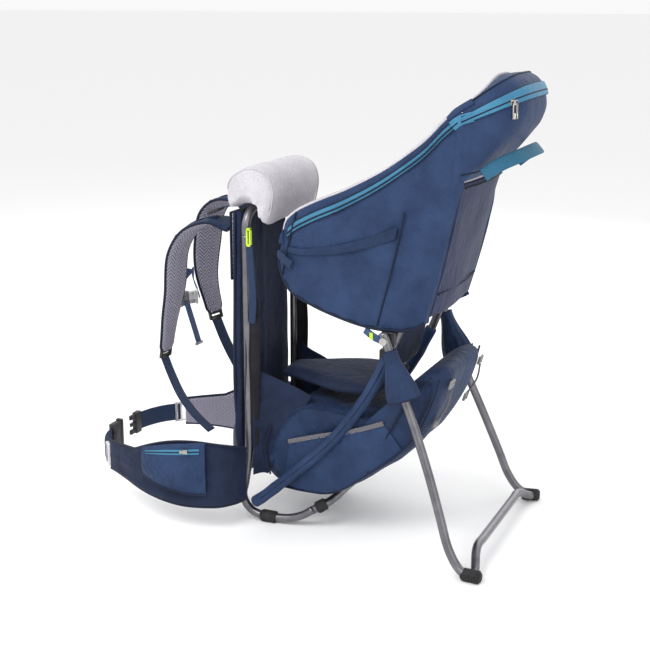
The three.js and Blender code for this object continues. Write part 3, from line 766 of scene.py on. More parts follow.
def wall_zip(side, sign):
    """Teal zip tape under the rim, from the front gusset to the hood, with its chain and seams."""
    share = np.linspace(0.12, 1, 70)
    height = np.linalg.norm(wall_point(share, 1.0) - wall_point(share, 0.0), axis=-1)
    top = 1 - mix(22, 14, share) / height
    low = top - mix(BAND_DEPTH, 16, share) / height
    rows = np.linspace(0, 1, 7)
    tape = wall_point(share[:, None], mix(low[:, None], top[:, None], rows[None]), sign, proud=2.4)
    shell(f"zip_tape_{side}", "root", outwards(tape, sign), 2.2, "teal", level=1)
    chain = wall_point(share, mix(low, top, 0.4), sign, proud=3.2)
    cord_line(f"zip_chain_{side}", "root", chain, ZIP_CHAIN_R, "binding", count=140)
    for label, edge in (("upper", top), ("lower", low)):
        seam = wall_point(share, edge, sign, proud=2.6)
        cord_line(f"tape_seam_{label}_{side}", "root", seam, 1.0, "binding", count=90)
    rear = wall_point(0.97, float(top[-3] + low[-3]) / 2, 1, proud=3.0)
    bridge = mirrored([rear, (135.5, 413, 787), hood_point(0.02, 0.81) + (2.5, 2, 0)], sign)
    band(f"tape_bridge_{side}", "root", bridge, 17, "teal", (0, 0, 1), 2.2, count=20)


def wall_trim(side, sign):
    """The rim's piping, the gusset and pocket seams, the stretch pocket's hem and the lower binding."""
    rim = wall_point(np.linspace(0, 0.97, 60), 1.0, sign, proud=-3.0)
    cord_line(f"rim_piping_{side}", "root", rim, 3.0, "jersey")
    for label, place, top in (("gusset", 0.13, 0.98), ("pocket_rear", 0.74, 0.66)):
        height = np.linspace(0.02, top, 26)
        seam = wall_point(place + 0.03 * height, height, sign, proud=2.2)
        cord_line(f"seam_{label}_{side}", "root", seam, 1.5, "binding")
    u = np.linspace(0.15, 0.74, 50)[:, None]
    hem = wall_point(u, (0.40 + 0.16 * u) + np.linspace(0, 0.075, 6)[None], sign, proud=4.6)
    shell(f"pocket_hem_{side}", "root", outwards(hem, sign), 3.0, "navy_soft", level=1)
    lower = wall_point(np.linspace(0, 1, 70), 0.0, sign, proud=-2.0)
    cord_line(f"wall_binding_{side}", "root", lower, 3.4, "binding")


def cockpit_corner(side, sign):
    """A cloth gusset that closes the corner between the wall, the rear panel and the hood."""
    side_edge = wall_point(0.975, np.linspace(0.0, 1.0, 40), 1, proud=-1.0)
    z = side_edge[:, 2]
    panel, reach = spline(REAR_WALL, 60), spline(HOOD_SIDE, 60)
    hood_part = smooth(672, 700, z)
    x_hood = np.interp(z, reach[:, 1], reach[:, 0]) - 2
    x_rear = mix(mix(110, 115, smooth(440, 679, z)), x_hood, hood_part)
    y_rear = mix(np.interp(z, panel[:, 1], panel[:, 0]) - 1, 424, hood_part)
    rear_edge = np.stack([x_rear, y_rear, z], 1)
    spread = np.linspace(0, 1, 9)[:, None]
    corner = side_edge[:, None] * (1 - spread) + rear_edge[:, None] * spread
    corner[..., 0] += 3 * np.sin(np.pi * spread[:, 0])
    corner = facing(corner * (sign, 1, 1), (0, 250, 600))
    shell(f"cockpit_corner_{side}", "root", corner, 3, "navy", level=1)
    cap = mirrored([wall_point(0.95, 0.985, 1, -3.0), (132, 406, 801), hood_point(0.03, 0.97)], sign)
    cord_line(f"cockpit_corner_cap_{side}", "root", cap, 6.0, "navy", count=24, sides=16)


def cockpit():
    for side, sign in SIDES:
        wall_panel(side, sign)
        wall_zip(side, sign)
        wall_trim(side, sign)
        cockpit_corner(side, sign)
        gusset = wall_point(np.linspace(0.02, 0.20, 30), 0.30, sign, proud=6.0)
        band(f"gusset_webbing_{side}", "root", gusset, 15, "webbing", (0, 0, 1), 3.0)
    rear_panel()
    hood()


def rear_panel():
    """The rear panel, bowed and creased, with seams near its foot and its head."""
    line = spline(REAR_WALL, 60)
    low_half, high_half, bow = 112, 117, 9
    u, v = grid((0, 1, 70), (0, 1, 40))
    centre = at(line, v)
    x = (1 - 2 * u) * mix(low_half, high_half, v)
    p = np.stack([x, centre[..., 0] + bow * np.sin(np.pi * u), centre[..., 1]], -1)
    p[..., 1] += 2.4 * np.sin(u * 5 + v * 4) * np.sin(np.pi * u) + 1.5 * ripple(p, 30, 2.0)
    shell("cockpit_rear_panel", "root", p, 8, "rear", level=1, replaces=["cockpit_rear_wall"])
    across = np.linspace(0.02, 0.98, 40)
    for label, share in (("lower", 0.18), ("upper", 0.97)):
        middle = at(line, np.full(40, share))
        x = (1 - 2 * across) * mix(low_half, high_half, share)
        seam = np.stack([x, middle[:, 0] + bow * np.sin(np.pi * across) + 1.5, middle[:, 1]], -1)
        cord_line(f"rear_seam_{label}", "root", seam, 1.6, "binding")


HOOD_CORE = np.array((0, 380, 780))


def off_hood(p, proud):
    """Points on the hood, moved out from its middle."""
    return p + unit(p - HOOD_CORE) * (proud, proud, 0)


def hood():
    """The headrest hood: its padded shell, jersey lining, zip tape, seams and piping."""
    u, v = grid((0, 1, 110), (0, 1, 44))
    p = hood_point(u, v)
    fold = np.sin(np.pi * v) * np.sin(np.pi * u)
    p = p - unit(p - np.array((0, 380, 760))) * (1.8 * ripple(p, 28, 0.6) * fold)[..., None]
    inner = hood_point(u, v, 1.0)
    two_skins("hood_shell", "root", p, inner, "navy", flip=True, level=1, replaces=["headrest_hood"])
    lining = hood_point(*grid((0.03, 0.97, 70), (0.06, 0.95, 26)), 1.06)
    shell("hood_lining", "root", lining[::-1], 1.5, "jersey", level=1)
    around = np.linspace(0, 1, 120)
    tape = off_hood(hood_point(around[:, None], np.linspace(0.76, 0.865, 7)[None]), 2.2)
    shell("hood_tape", "root", tape[::-1], 2.0, "teal", level=1)
    for label, height, radius, proud in (
        ("zip_chain", 0.80, 1.6, 3.4), ("tape_top_seam", 0.865, 1.0, 2.4),
        ("base_seam", 0.10, 1.6, 1.0), ("top_seam", 0.99, 1.5, 0.6),
    ):
        seam = off_hood(hood_point(around, height), proud)
        cord_line(f"hood_{label}", "root", seam, radius, "binding", count=150)
    cord_line("hood_piping", "root", hood_point(around, 1.0, 1.0), 2.6, "jersey", count=150)


def pillow():
    """The jersey front pillow that folds over the top of the frame."""
    outline = spline(
        [
            (-42, 628), (-36, 660), (-12, 680), (20, 686), (48, 671), (58, 642), (52, 600),
            (44, 578), (34, 578), (29, 616), (4, 622), (-22, 618), (-34, 604), (-42, 628),
        ],
        46,
    )[:-1]
    columns = 40
    y, z = outline[:, 0], outline[:, 1]
    rings = []
    for t in np.linspace(-1, 1, columns):
        scale = (1 - 0.93 * abs(t) ** 14) ** 0.5
        rings.append(np.stack([np.full(len(y), 117 * t), 6 + (y - 6) * scale, 640 + (z - 640) * scale], 1))
    p = np.array(rings)
    n = p.shape[1]
    faces = [tuple(reversed(f)) for f in grid_faces(columns, n, wrap=True)]
    faces += [tuple(reversed(range(n))), tuple(range((columns - 1) * n, columns * n))]
    vertices, uv = p.reshape(-1, 3), surface_uv(p)
    made = piece("jersey_pillow", None, vertices, faces, "jersey", uvs=uv, replaces=["front_pillow"])
    cushion("root", made, swell=5)
    # The seam that runs over the pillow near its left and right ends.
    for side, sign in SIDES:
        ring = [(sign * 104, 6 + (y - 6) * 0.93, 640 + (z - 640) * 0.93) for y, z in outline[2:26]]
        cord_line(f"pillow_seam_{side}", "root", np.array(ring), 1.2, "jersey")


def grab():
    half = [(110, 450, 696), (98, 470, 711), (66, 498, 725), (0, 512, 732)]
    band(
        "grab_handle_webbing", "handle", across_middle(half), 24, "teal_dark", (0, 1, -1.1), 6, count=120,
        replaces=["grab_handle"],
    )


def zip_parts():
    x, y, z = hood_point(0.24, 0.78)
    outward = unit((0.72, 0.69, 0))
    centre = np.array((x, y, z)) + outward * 4
    along = np.cross((0, 0, 1), outward)
    axes = (along, outward, (0, 0, 1))
    parts = [((13, 3.6, 9), (0, 0, 0)), ((4, 2.4, 7), (0, 2.6, 0)), ((9, 1.4, 6), (0, 2.0, -1))]
    hardware("zip_slider_body", "zip", parts, centre, axes, "steel", 0.8, ["cockpit_zip_slider"])
    pull = centre + outward * 4.6 - np.array((0, 0, 14))
    ring = [((9, 2, 3), (0, 0, 11.5)), ((9, 2, 10), (0, 0, -8))]
    ring += [((2.4, 2, 24), (s * 3.3, 0, 0)) for s in (-1, 1)]
    hardware("zip_pull_tab", "zip_pull", ring, pull, axes, "steel", 0.7, ["cockpit_zip_pull"])


# ---- Storage bag, seat and back --------------------------------------------------------------
BAG = [
    (14, 118), (28, 92), (60, 68), (108, 64), (176, 70), (256, 124), (318, 174), (354, 218),
    (388, 296), (396, 340), (378, 346), (330, 318), (290, 256), (190, 250), (100, 246), (44, 200),
]


def bag_half_width(y):
    return mix(98, 116, smooth(60, 260, y))


SACK_CORE = np.array((0, 200, 190))


def sack():
    """The bag's skin: rings of its outline across its width, closed at both ends by shrinking rings."""
    outline = spline(BAG + BAG[:1], 110)[:-1]
    columns = 46
    rings = []
    for t in np.sin(np.linspace(-1, 1, columns) * np.pi / 2):
        scale = 1 - 0.12 * abs(t) ** 8
        yz = SACK_CORE[1:] + (outline - SACK_CORE[1:]) * scale
        rings.append(np.stack([t * bag_half_width(outline[:, 0]), yz[:, 0], yz[:, 1]], 1))
    p = np.array(rings)
    sag = 3.2 * ripple(p, 34, 0.4)
    out = p - SACK_CORE
    out[..., 0] *= 0.3
    p = p + unit(out) * (sag - 1.5)[..., None]
    n = p.shape[1]
    faces = [tuple(reversed(f)) for f in grid_faces(columns, n, wrap=True)]
    vertices = [p.reshape(-1, 3)]
    uvs = [surface_uv(p)]
    total = columns * n
    for end, t in ((0, -1), (columns - 1, 1)):
        previous = range(end * n, end * n + n)
        for share in (0.8, 0.55, 0.3, 0.08):
            ring = p[end] * (1, share, share) + SACK_CORE * (1 - share)
            ring[:, 0] += t * (5 + 3.0 * ripple(ring, 26, 1.5)) * (1 - share * 0.6)
            vertices.append(ring)
            uvs.append(ring[:, 1:])
            current = range(total, total + n)
            total += n
            for k in range(n):
                quad = (previous[k], previous[(k + 1) % n], current[(k + 1) % n], current[k])
                faces.append(quad if t < 0 else tuple(reversed(quad)))
            previous = current
        faces.append(tuple(previous) if t < 0 else tuple(reversed(previous)))
    vertices, uvs = np.vstack(vertices), np.vstack(uvs)
    piece("storage_sack", "root", vertices, faces, "navy_soft", uvs=uvs, level=1, replaces=["storage_bag"])


SACK_PIPING = {
    "side": [(60, 78), (120, 76), (176, 84), (250, 134), (312, 184), (346, 226), (376, 296), (386, 334)],
    "front": [(46, 196), (34, 150), (44, 98)],
    "flap": [(372, 336), (336, 296), (300, 236), (250, 136)],
}


def side_pocket(side, sign):
    """The bag's side pocket, with a gathered, elastic top edge."""
    u, v = grid((0, 1, 60), (0, 1, 24))
    low = spline([(70, 76), (176, 82), (258, 138), (318, 190)], 60)
    high = spline([(84, 170), (150, 192), (220, 214), (282, 238)], 60)
    yz = at(low, u) * (1 - v[..., None]) + at(high, u) * v[..., None]
    puff = 7 * np.sin(np.pi * np.clip(u, 0.02, 0.98)) ** 0.5 * np.sin(np.pi * np.clip(v, 0.02, 0.9)) ** 0.5
    pleats = 1.6 * np.sin(u * 80) * smooth(0.55, 1, v)
    x = sign * (bag_half_width(yz[..., 0]) + 4.5 + puff + pleats)
    p = np.stack([x, yz[..., 0], yz[..., 1]], -1)
    shell(f"side_pocket_{side}", "root", outwards(p, sign), 2.4, "navy", level=1)
    edge = np.array([(sign * (bag_half_width(y) + 7), y, z) for y, z in high])
    band(f"pocket_elastic_{side}", "root", edge, 9, "elastic", (0, -0.4, 1), 4, count=80)


def compression_cord(side, sign):
    """The thin cord across the bag's rear corner, between its two buckles."""
    x = sign * 88
    axes = ((1, 0, 0), (0, 1, -0.3), (0, 0.3, 1))
    for label, place in (("upper", (x, 398, 316)), ("lower", (x, 371, 240))):
        hardware(f"bag_buckle_{label}_{side}", "root", ladder(20, 16, 3, 5), place, axes, "grey", 0.8)
    link = [(x, 398, 308), (x + sign * 2, 392, 278), (x, 375, 248)]
    cord_line(f"bag_compression_{side}", "root", link, 1.8, "elastic")


def storage():
    sack()
    for side, sign in SIDES:
        for label, path in SACK_PIPING.items():
            seam = np.array([(sign * (bag_half_width(y) + 6.0), y, z) for y, z in path])
            cord_line(f"sack_piping_{label}_{side}", "root", seam, 1.9, "binding")
        side_pocket(side, sign)
        compression_cord(side, sign)


def crown(u, v, height):
    """A seat pad's swell: flat at its sides and rounded at its ends."""
    return height * np.sqrt(np.clip(1 - v**4, 0, 1)) * np.sin(np.pi * np.clip(u, 0.04, 0.96)) ** 0.5


def seat_parts():
    """The seat's cushion and back, and the child's harness with its buckle."""
    u, v = grid((0, 1, 40), (-1, 1, 40))
    half = mix(36, 96, smooth(0, 0.75, u))
    top = np.stack([v * half, mix(38, 258, u), 272 + crown(u, v, 9)], -1)
    made = shell("seat_pad", None, top, 14, "deep")
    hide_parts("seat_cushion")
    cushion("root", made, swell=4)
    face = np.stack([v * 90, mix(262, 352, u) - 2 - crown(u, v, 8), mix(310, 634, u)], -1)
    made = shell("seat_back_pad", None, face[:, ::-1], 14, "deep")
    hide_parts("seat_back")
    cushion("root", made, swell=4)
    for side, sign in SIDES:
        route = mirrored([(44, 330, 596), (40, 296, 480), (28, 262, 388), (14, 246, 352)], sign)
        band(
            f"child_strap_web_{side}", "root", route, 26, "webbing", (1, 0, 0), 4,
            replaces=[f"child_strap_{side}"],
        )
        upper = mirrored([(43, 320, 590), (39, 288, 480), (32, 264, 410)], sign)
        soft = band(f"child_strap_pad_{side}", "root", upper, 40, "deep", (1, 0, 0), 9)
    parts = [((40, 11, 30), (0, 0, 6)), ((30, 13, 16), (0, 0, -12)), ((10, 15, 10), (0, 0, 6))]
    hardware("child_buckle_body", "root", parts, (0, 238, 324), UPRIGHT, "black", 2.0, ["child_buckle"])


def back_parts():
    """The back panel with its bindings, and the lumbar cushion."""
    u, v = grid((-1, 1, 50), (0, 1, 70))
    z = mix(82, 602, v)
    half = mix(93, mix(109, 98, smooth(300, 600, z)), smooth(110, 180, z))
    spine = 2.4 * np.exp(-((u * half / 7) ** 2))
    y = -28 - 5 * np.cos(u * np.pi / 2) + spine + 1.2 * ripple(np.stack([u * half, z, z], -1), 40)
    p = np.stack([u * half, y, z], -1)
    made = shell("back_plate", "root", p, 15, "deep", level=1, replaces=["back_panel"])
    for side, sign in SIDES:
        outline = ((93, 84), (93, 128), (109, 260), (103, 450), (98, 602))
        edge = [(sign * x, -26, z) for x, z in outline]
        cord_line(f"back_binding_{side}", "root", edge, 3.2, "binding")
    u, v = grid((-1, 1, 50), (0, 1, 30))
    y = -41 - 7 * np.clip(1 - u**4, 0, 1) ** 0.5 * np.clip(1 - (2 * v - 1) ** 4, 0, 1) ** 0.5
    face = np.stack([u * 90, y, mix(95, 183, v)], -1)
    made = shell("lumbar_cushion", None, face, 12, "mesh")
    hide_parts("lumbar_pad")
    cushion("root", made, swell=3, voxel=4)


# ---- Harness and hip belt --------------------------------------------------------------------
YOKE = (84, 470, 596, -42)
SHOULDER = {
    "left": {
        "route": [
            (60, -50, 566), (66, -84, 576), (70, -132, 558), (70, -164, 512), (70, -174, 434),
            (68, -188, 376), (66, -200, 310),
        ],
        "across": (0.995, -0.105, 0),
        "webbing": [(66, -206, 300), (72, -186, 262), (86, -156, 225), (98, -120, 195), (100, -84, 168)],
        "lifter": [(56, -47, 606), (60, -68, 602), (64, -98, 588)],
    },
    "right": {
        "route": [
            (-60, -50, 572), (-64, -84, 596), (-66, -130, 594), (-67, -162, 566), (-68, -174, 510),
            (-68, -178, 440), (-66, -160, 362),
        ],
        "across": (0.93, -0.36, 0),
        "webbing": [
            (-66, -158, 350), (-72, -140, 300), (-84, -118, 246), (-96, -98, 202), (-100, -78, 168),
        ],
        "lifter": [(-56, -47, 628), (-58, -68, 624), (-62, -98, 613)],
    },
}


def padded_strap(side, facts):
    """A foam shoulder strap: navy outer face, spacer mesh towards the wearer, and a bound edge."""
    steps, rows = 90, 22
    line = spline(facts["route"], steps)
    tangent, across, normal = frames(line, facts["across"])
    t = np.linspace(0, 1, steps)
    half = mix(34, 20, smooth(0.55, 1, t)) * (1 - 0.25 * smooth(0.97, 1, t))
    inner = -np.sign(normal[steps // 2] @ (0, -1, 0)) * normal
    v = np.linspace(-1, 1, rows)
    crown = np.sqrt(np.clip(1 - np.abs(v) ** 5, 0, 1))
    wave = 0.6 * np.sin(t * 70)[:, None]
    for label, sign, depth, material in (("mesh", 1, 6.2, "mesh"), ("face", -1, 5.4, "navy_soft")):
        lift = sign * (depth * crown[None] + wave * crown[None] * 0.5)
        p = line[:, None] + across[:, None] * (half[:, None] * v[None])[..., None]
        p = p + inner[:, None] * lift[..., None]
        normals = np.cross(np.gradient(p, axis=0), np.gradient(p, axis=1))
        if (normals[steps // 2, rows // 2] @ (inner[steps // 2] * sign)) < 0:
            p = p[:, ::-1]
        replaced = [f"shoulder_strap_{side}"] if label == "mesh" else []
        made = shell(f"shoulder_{label}_{side}", "harness", p, 4.6, material, level=1, replaces=replaced)
    for label, sign in (("a", -1), ("b", 1)):
        edge = line + across * (half * sign)[:, None]
        cord_line(
            f"strap_binding_{label}_{side}", "harness", edge, 2.6, "binding", count=120, slot="navy_fabric",
        )
    middle = line - inner * 7.2
    band(f"strap_ladder_web_{side}", "harness", middle[8:80], 22, "webbing", facts["across"], 2.2)
    for k, share in enumerate((0.34, 0.52, 0.70)):
        i = int(share * (steps - 1))
        axes = (across[i], inner[i], tangent[i])
        place = line[i] - inner[i] * 7.8
        hardware(
            f"strap_keeper_{k}_{side}", "harness", [((30, 5, 7), (0, 0, 0))], place, axes, "black", 1.4,
        )
    end = line[-1]
    axes = (across[-1], inner[-1], tangent[-1])
    hardware(
        f"strap_buckle_{side}", "harness", ladder(34, 24, 5, 6), end + tangent[-1] * 3, axes, "black", 1.2,
    )
    band(
        f"strap_web_{side}", "harness", facts["webbing"], 25, "webbing", facts["across"], 2.4,
        replaces=[f"strap_webbing_{side}"],
    )
    band(
        f"lifter_web_{side}", "harness", facts["lifter"], 20, "webbing", (1, 0, 0), 2.4,
        replaces=[f"load_lifter_{side}"],
    )
    lifter = np.array(facts["lifter"], float)
    along = unit(lifter[2] - lifter[1])
    axes = ((1, 0, 0), np.cross((1, 0, 0), along), along)
    hardware(
        f"lifter_buckle_{side}", "harness", ladder(28, 20, 4, 6), (lifter[1] + lifter[2]) / 2, axes,
        "black", 1.0,
    )


def harness():
    """The yoke, both shoulder straps and the chest strap."""
    half, bottom, top, front = YOKE
    u, v = grid((-1, 1, 40), (0, 1, 30))
    y = front - 2.5 * np.clip(1 - u**6, 0, 1) ** 0.5 * np.clip(1 - (2 * v - 1) ** 6, 0, 1) ** 0.5
    p = np.stack([u * half, y, mix(bottom, top, v)], -1)
    made = shell(
        "yoke_pad", "harness", p, 9, "mesh", slot="dark_navy_fabric", level=1, replaces=["harness_yoke"],
    )
    border = [(-half, front, bottom), (-half, front, top), (half, front, top), (half, front, bottom)]
    for k, (a, b) in enumerate(zip(border, border[1:] + border[:1])):
        line = np.linspace(a, b, 8)
        cord_line(f"yoke_binding_{k}", "harness", line, 2.4, "binding", count=30)
    for side, facts in SHOULDER.items():
        padded_strap(side, facts)
    chest()


def chest():
    """The chest strap: a buckle in two halves, webbing to both straps, and a loose tail."""
    centre = np.array((-1, -184, 402))
    turn = -0.45
    along = np.array((math.cos(turn), math.sin(turn), 0))
    out = np.array((math.sin(turn), -math.cos(turn), 0))
    axes = (along, out, (0, 0, 1))
    socket = [((19, 9, 29), (0, 0, 0)), ((3, 10, 33), (8, 0, 0)), ((12, 10, 10), (-2, 0.8, 0))]
    prong = [
        ((19, 8, 25), (0, 0, 0)), ((3, 9, 31), (-8, 0, 0)), ((8, 9, 6), (4, 0.5, 8)),
        ((8, 9, 6), (4, 0.5, -8)),
    ]
    hardware(
        "chest_socket", "harness", socket, centre + along * 11.4, axes, "grey", 1.2,
        ["chest_buckle_socket"],
    )
    hardware(
        "chest_prong", "chest_prong", prong, centre - along * 11.4, axes, "pale", 1.2,
        ["chest_buckle_prong"],
    )
    left = [(30, -160, 468), (32, -180, 444), (31, -195, 418), (22.4, -195.6, 401)]
    right = [(-33, -191, 456), (-34, -190, 432), (-31, -180, 412), (-24.8, -172.6, 401)]
    band(
        "chest_web_left", "harness", left, 20, "webbing_blue", (0.6, 0.2, 0.7), 2.4,
        replaces=["chest_webbing_left"],
    )
    made = band(
        "chest_web_right", None, right, 20, "webbing_blue", (0.6, 0.2, 0.7), 2.4,
        replaces=["chest_webbing_right"],
    )
    row(right[1])
    row(right[3])
    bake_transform(made)
    tail = [(8, -184, 396), (8, -181, 386), (8, -170, 352), (4, -160, 312)]
    band(
        "chest_strap_tail", "harness", tail, 20, "webbing_blue", (1, 0, 0), 2.4,
        replaces=["chest_strap_end"],
    )
    hardware("chest_tail_bar", "harness", [((26, 4, 5), (0, 0, 0))], tail[-1], UPRIGHT, "grey", 1.0)


WING_PLAN = [
    (124, 2), (150, -3), (184, -26), (202, -72), (206, -125), (197, -182), (174, -236), (150, -284),
]
POCKET = {"from": 0.26, "to": 0.64, "bottom": 76, "top": 184, "depth": 18}


def wing_point(t, height, distance, sign):
    plan = spline(WING_PLAN, 200)
    tangent = unit(np.gradient(plan, axis=0))
    here, along = at(plan, t), unit(at(tangent, t))
    x = here[..., 0] - distance * along[..., 1]
    y = here[..., 1] + distance * along[..., 0]
    bottom = mix(50, 78, smooth(0.35, 1, t))
    top = 150 + 30 * np.sin(np.pi * np.minimum(1, 1.35 * np.asarray(t))) - 16 * np.asarray(t) ** 2
    return np.stack([sign * x, y, mix(bottom, top, height)], -1)


def pocket_point(u, v, stand_off, sign):
    t = mix(POCKET["from"], POCKET["to"], u)
    swell = np.sin(np.pi * mix(0.08, 0.92, u)) * np.sin(np.pi * mix(0.12, 0.88, v))
    p = wing_point(t, 0.5, 7 + stand_off + POCKET["depth"] * np.sqrt(swell), sign)
    p[..., 2] = mix(POCKET["bottom"] + 26 * u * u, POCKET["top"] - 26 * u * u, v)
    return p


HIP_MIDDLE = (60, -130, 120)
HIP_ZIP_ALONG = (0.1251, -0.9869, -0.1019)


def hip_wing(side, sign):
    """A padded wing: ribbed outer face, spacer mesh towards the wearer, and bound edges."""
    body, middle = f"hip_{side}", mirrored(HIP_MIDDLE, sign)
    u, v = grid((0, 1, 80), (0, 1, 30))
    edge = np.clip(1 - (2 * v - 1) ** 6, 0, 1) ** 0.5 * np.clip(1 - (2 * u - 1) ** 14, 0, 1) ** 0.5
    quilt = 1.3 * np.maximum(0, np.sin(v * np.pi * 5)) * edge
    outer = facing(wing_point(u, v, 1.5 + 5.5 * edge + quilt, sign), middle)
    made = shell(f"hip_wing_face_{side}", body, outer, 5, "deep", level=1, replaces=[f"hip_wing_{side}"])
    inner = facing(wing_point(u, v, -1.5 - 5.5 * edge, sign), middle)[::-1]
    made = shell(f"hip_wing_mesh_{side}", body, inner, 4, "mesh", level=1)
    for label, height in (("top", 1.0), ("bottom", 0.0)):
        line = wing_point(np.linspace(0, 1, 60), np.full(60, height), 0, sign)
        cord_line(f"hip_binding_{label}_{side}", body, line, 3.4, "binding")


def hip_pocket(side, sign):
    """The zipped pocket: quilted skin, teal tape, the zip's chain and slider, and the seam at its foot."""
    body, middle = f"hip_{side}", mirrored(HIP_MIDDLE, sign)
    u, v = grid((0.01, 0.99, 60), (0.01, 0.99, 40))
    zigzag = 1.2 * np.abs(np.sin(u * 26 + 3.0 * np.abs(((v * 6) % 2) - 1)))
    relief = zigzag * smooth(0.02, 0.2, v) * smooth(0.98, 0.8, v)
    skin = facing(pocket_point(u, v, relief, sign), middle)
    made = shell(
        f"hip_pocket_skin_{side}", body, skin, 2.4, "navy", level=1, replaces=[f"hip_pocket_{side}"],
    )
    tape = facing(pocket_point(*grid((0.08, 0.9, 40), (0.79, 0.89, 5)), 2.2, sign), middle)
    shell(f"hip_zip_tape_{side}", body, tape, 1.4, "teal", level=1)
    chain = pocket_point(np.linspace(0.08, 0.9, 40), np.full(40, 0.84), 2.9, sign)
    cord_line(f"hip_zip_chain_{side}", body, chain, 1.1, "binding")
    seam = pocket_point(np.linspace(0.02, 0.98, 20), np.full(20, 0.04), 0.5, sign)
    cord_line(f"hip_pocket_seam_{side}", body, seam, 1.5, "binding")
    centre, _ = solid_place(f"hip_zip_slider_{side}")
    along = unit(mirrored(HIP_ZIP_ALONG, sign))
    out = unit(np.cross(along, (0, 0, 1)))
    out = out * np.sign(out[0] * sign)
    axes = (along, out, np.cross(along, out))
    parts = [((10, 4, 8), (0, 0, 0)), ((12, 1.6, 5), (4, 2.4, 0))]
    slider = f"hip_zip_slider_{side}"
    hardware(f"hip_zip_slide_{side}", f"hip_zip_{side}", parts, centre, axes, "steel", 0.7, [slider])


HIP_BUCKLE = {
    "left": ("socket", [((38, 12, 50), (0, 0, 0)), ((8, 14, 56), (-13, 0, 0)), ((16, 14, 20), (6, 0, 0))]),
    "right": (
        "prong",
        [
            ((20, 11, 46), (-9, 0, 0)), ((30, 6, 10), (4, 0, 16)),
            ((30, 6, 10), (4, 0, -16)), ((28, 5, 8), (4, 0, 0)),
        ],
    ),
}


def hip_strap(side, sign):
    """The wing's webbing with its ladder-lock, and its half of the side-release buckle."""
    body = f"hip_{side}"
    route = mirrored([(146, -292, 105), (118, -318, 105), (86, -334, 105), (56, -342, 105)], sign)
    band(f"hip_web_{side}", body, route, 38, "webbing", (0, 0, 1), 2.6, replaces=[f"hip_webbing_{side}"])
    along = unit(route[1] - route[0])
    axes = (np.cross(along, (0, 0, 1)), along, (0, 0, 1))
    bars = [((5, 26, 4), (0, 0, s * 20)) for s in (-1, 1)]
    bars += [((5, 4, 40), (0, s * 11, 0)) for s in (-1, 0, 1)]
    hardware(f"hip_ladder_{side}", body, bars, route[0], axes, "pale", 1.0)
    kind, shape = HIP_BUCKLE[side]
    place = (sign * 36, -343, 105)
    hardware(f"hip_clip_{kind}", body, shape, place, UPRIGHT, "black", 1.8, [f"hip_buckle_{kind}"])


def hip_belt():
    for side, sign in SIDES:
        hip_wing(side, sign)
        hip_pocket(side, sign)
        hip_strap(side, sign)


# ---- Stays, sleeves and fittings -------------------------------------------------------------
STAY = [(123, 288, 360), (122, 250, 286), (119, 178, 188), (115, 92, 106), (112, 34, 54), (109, 12, 37)]


def gathered(t):
    """The stay sleeve's swell at a share t of its length, both ways across."""
    swell = 1 + 0.03 * math.sin(t * 60)
    return swell, swell


def stay_sleeve(side, sign):
    """A padded fabric tube round the frame's diagonal stay, with piping down its outer face."""
    stay, section = mirrored(STAY, sign), circle(11.2, 28)
    made = sweep(f"stay_sleeve_{side}", "root", stay, section, "navy", count=120, scale=gathered, level=1)
    cord_line(f"stay_piping_{side}", "root", stay + (sign * 10.4, 3, 3), 1.4, "binding")


def leg_bell(side, sign):
    """The gathered cloth bell round the top of the stand's leg, with its hem."""
    rings, sides = 50, 72
    route = spline([(157, 304, 386), (157.4, 318, 344), (158, 334, 300)], rings) * (sign, 1, 1)
    _, across, normal = frames(route, (1, 0, 0))
    turn = np.linspace(0, 2 * np.pi, sides, endpoint=False)
    t = np.linspace(0, 1, rings)[:, None]
    pleat = 1.0 + 0.05 * np.sin(turn * 11)[None] * t
    narrow = mix(12.5, 20.0, smooth(0.05, 0.95, t)) * pleat
    wide = mix(13.0, 31.0, smooth(0.05, 0.95, t)) * pleat
    beside, ahead = np.cos(turn)[None] * narrow, np.sin(turn)[None] * wide
    ring = across[:, None] * beside[..., None] + normal[:, None] * ahead[..., None]
    outer = route[:, None] + ring
    inner = route[:, None] + ring * 0.88
    n = rings * sides
    faces = grid_faces(rings, sides, wrap=True)
    faces += [tuple(n + k for k in reversed(f)) for f in faces]
    for start in (0, n - sides):
        for k in range(sides):
            a, b = start + k, start + (k + 1) % sides
            quad = (b, a, n + a, n + b)
            faces.append(quad if start == 0 else tuple(reversed(quad)))
    vertices = np.vstack([outer.reshape(-1, 3), inner.reshape(-1, 3)])
    piece(f"leg_bell_{side}", "stand", vertices, faces, "navy_soft", replaces=[f"leg_sleeve_{side}"])
    hem = np.vstack([outer[-1], outer[-1][:1]])
    cord_line(f"leg_bell_hem_{side}", "stand", hem, 1.3, "binding", count=150)


def pivot_parts(side, sign):
    """The pivot's bracket with a raised block round the pin, and the side strap's end with its tab."""
    axes = ((0, 1, 0), (sign, 0, 0), (0, 0, 1))
    centre, size = solid_place(f"pivot_bracket_{side}")
    parts = [
        ((size[1] * 0.96, size[0] * 0.7, size[2] * 0.9), (0, 0, 0)),
        ((20, size[0] * 0.94, 20), (PIVOT_Y - centre[1], 0, PIVOT_Z - centre[2])),
    ]
    hardware(f"pivot_block_{side}", "root", parts, centre, axes, "black", 2.2, [f"pivot_bracket_{side}"])
    web = mirrored([(138, 250, 414), (142, 268, 404), (144, 286, 398)], sign)
    band(f"side_web_{side}", "root", web, 14, "webbing_blue", (0, 0.4, 1), 2.2)
    tab = [((7, 4, 12), (0, 0, 0))]
    hardware(f"side_tab_{side}", "root", tab, (sign * 142, 264, 405), axes, "lime", 1.0)


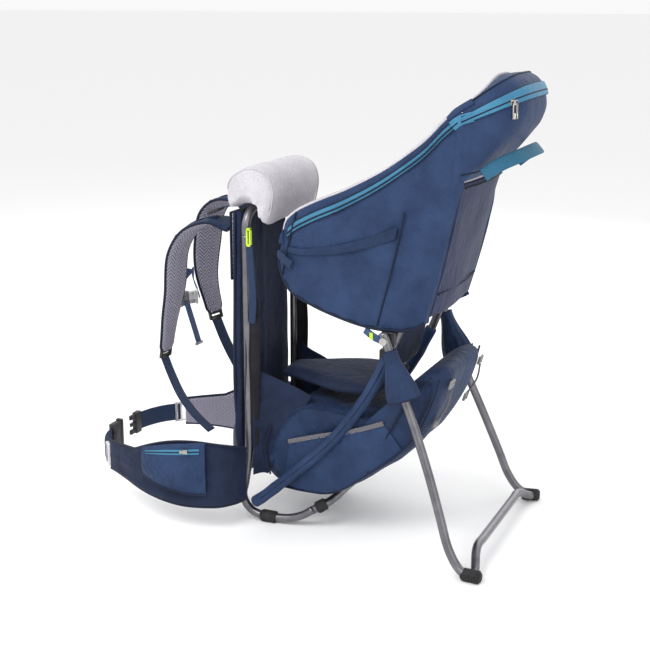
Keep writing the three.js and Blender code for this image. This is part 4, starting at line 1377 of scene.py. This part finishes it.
def entry_hook(side, sign):
    """The lime hook's loop, and the webbing down the rail under it."""
    hook = f"entry_hook_{side}"
    centre, size = solid_place(hook)
    bars = [((size[0] * 0.6, 2.6, size[2]), (0, s * (size[1] / 2 - 1.3), 0)) for s in (-1, 1)]
    bars += [((size[0] * 0.6, size[1], 4), (0, 0, s * (size[2] / 2 - 2))) for s in (-1, 1)]
    hardware(f"entry_hook_loop_{side}", f"hook_{side}", bars, centre, UPRIGHT, "lime", 1.0, [hook])
    drop = mirrored([(121, 14, 544), (123, 18, 500), (120, 20, 440), (114, 14, 396)], sign)
    band(f"entry_web_{side}", "root", drop, 14, "webbing", (0, 1, 0), 2.4)


def side_cloth(side, sign):
    """The cloth wedge from the back panel towards the bag, and the dark cloth fold beside the rail."""
    front = spline([(111, 10, 92), (112, 12, 160), (112, 13, 230), (111, 12, 306)], 50)
    rear = spline([(98, 36, 96), (99, 64, 150), (99, 104, 222), (92, 128, 262)], 50)
    share = np.linspace(0, 1, 22)[None, :, None]
    wedge = front[:, None] * (1 - share) + rear[:, None] * share
    wedge[..., 0] -= 7 * np.sin(np.pi * share[..., 0]) + 2.4 * ripple(wedge, 18, 0.8)
    wedge = facing(wedge * (sign, 1, 1), (0, 40, 250))
    shell(f"side_wedge_{side}", "root", wedge, 2.4, "deep", level=1)
    fold = spline([(108, 14, 150), (112, 20, 260), (112, 22, 360), (108, 16, 440)], 50) * (sign, 1, 1)
    u = np.linspace(-1, 1, 20)
    sheet = fold[:, None] + np.stack([2.0 * np.sin(u * 4) * sign, 15 * u - 8, 3 * u], -1)[None]
    shell(f"back_side_cloth_{side}", "root", outwards(sheet[:, ::-1], sign), 2.2, "black_cloth", level=1)


def fittings():
    for side, sign in SIDES:
        stay_sleeve(side, sign)
        leg_bell(side, sign)
        pivot_parts(side, sign)
        entry_hook(side, sign)
        side_cloth(side, sign)


def carried_over():
    """CAD parts whose shape is right keep it and get a finer material."""
    looks = {"pivot_pin": "steel", "lock_button": "black"}
    for name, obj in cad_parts.items():
        for start, material in looks.items():
            if name.startswith(start):
                obj.data.materials.clear()
                obj.data.materials.append(MATERIALS[material])


camera()
studio()
tube_frame()
cockpit()
pillow()
grab()
zip_parts()
storage()
seat_parts()
back_parts()
harness()
hip_belt()
fittings()
carried_over()
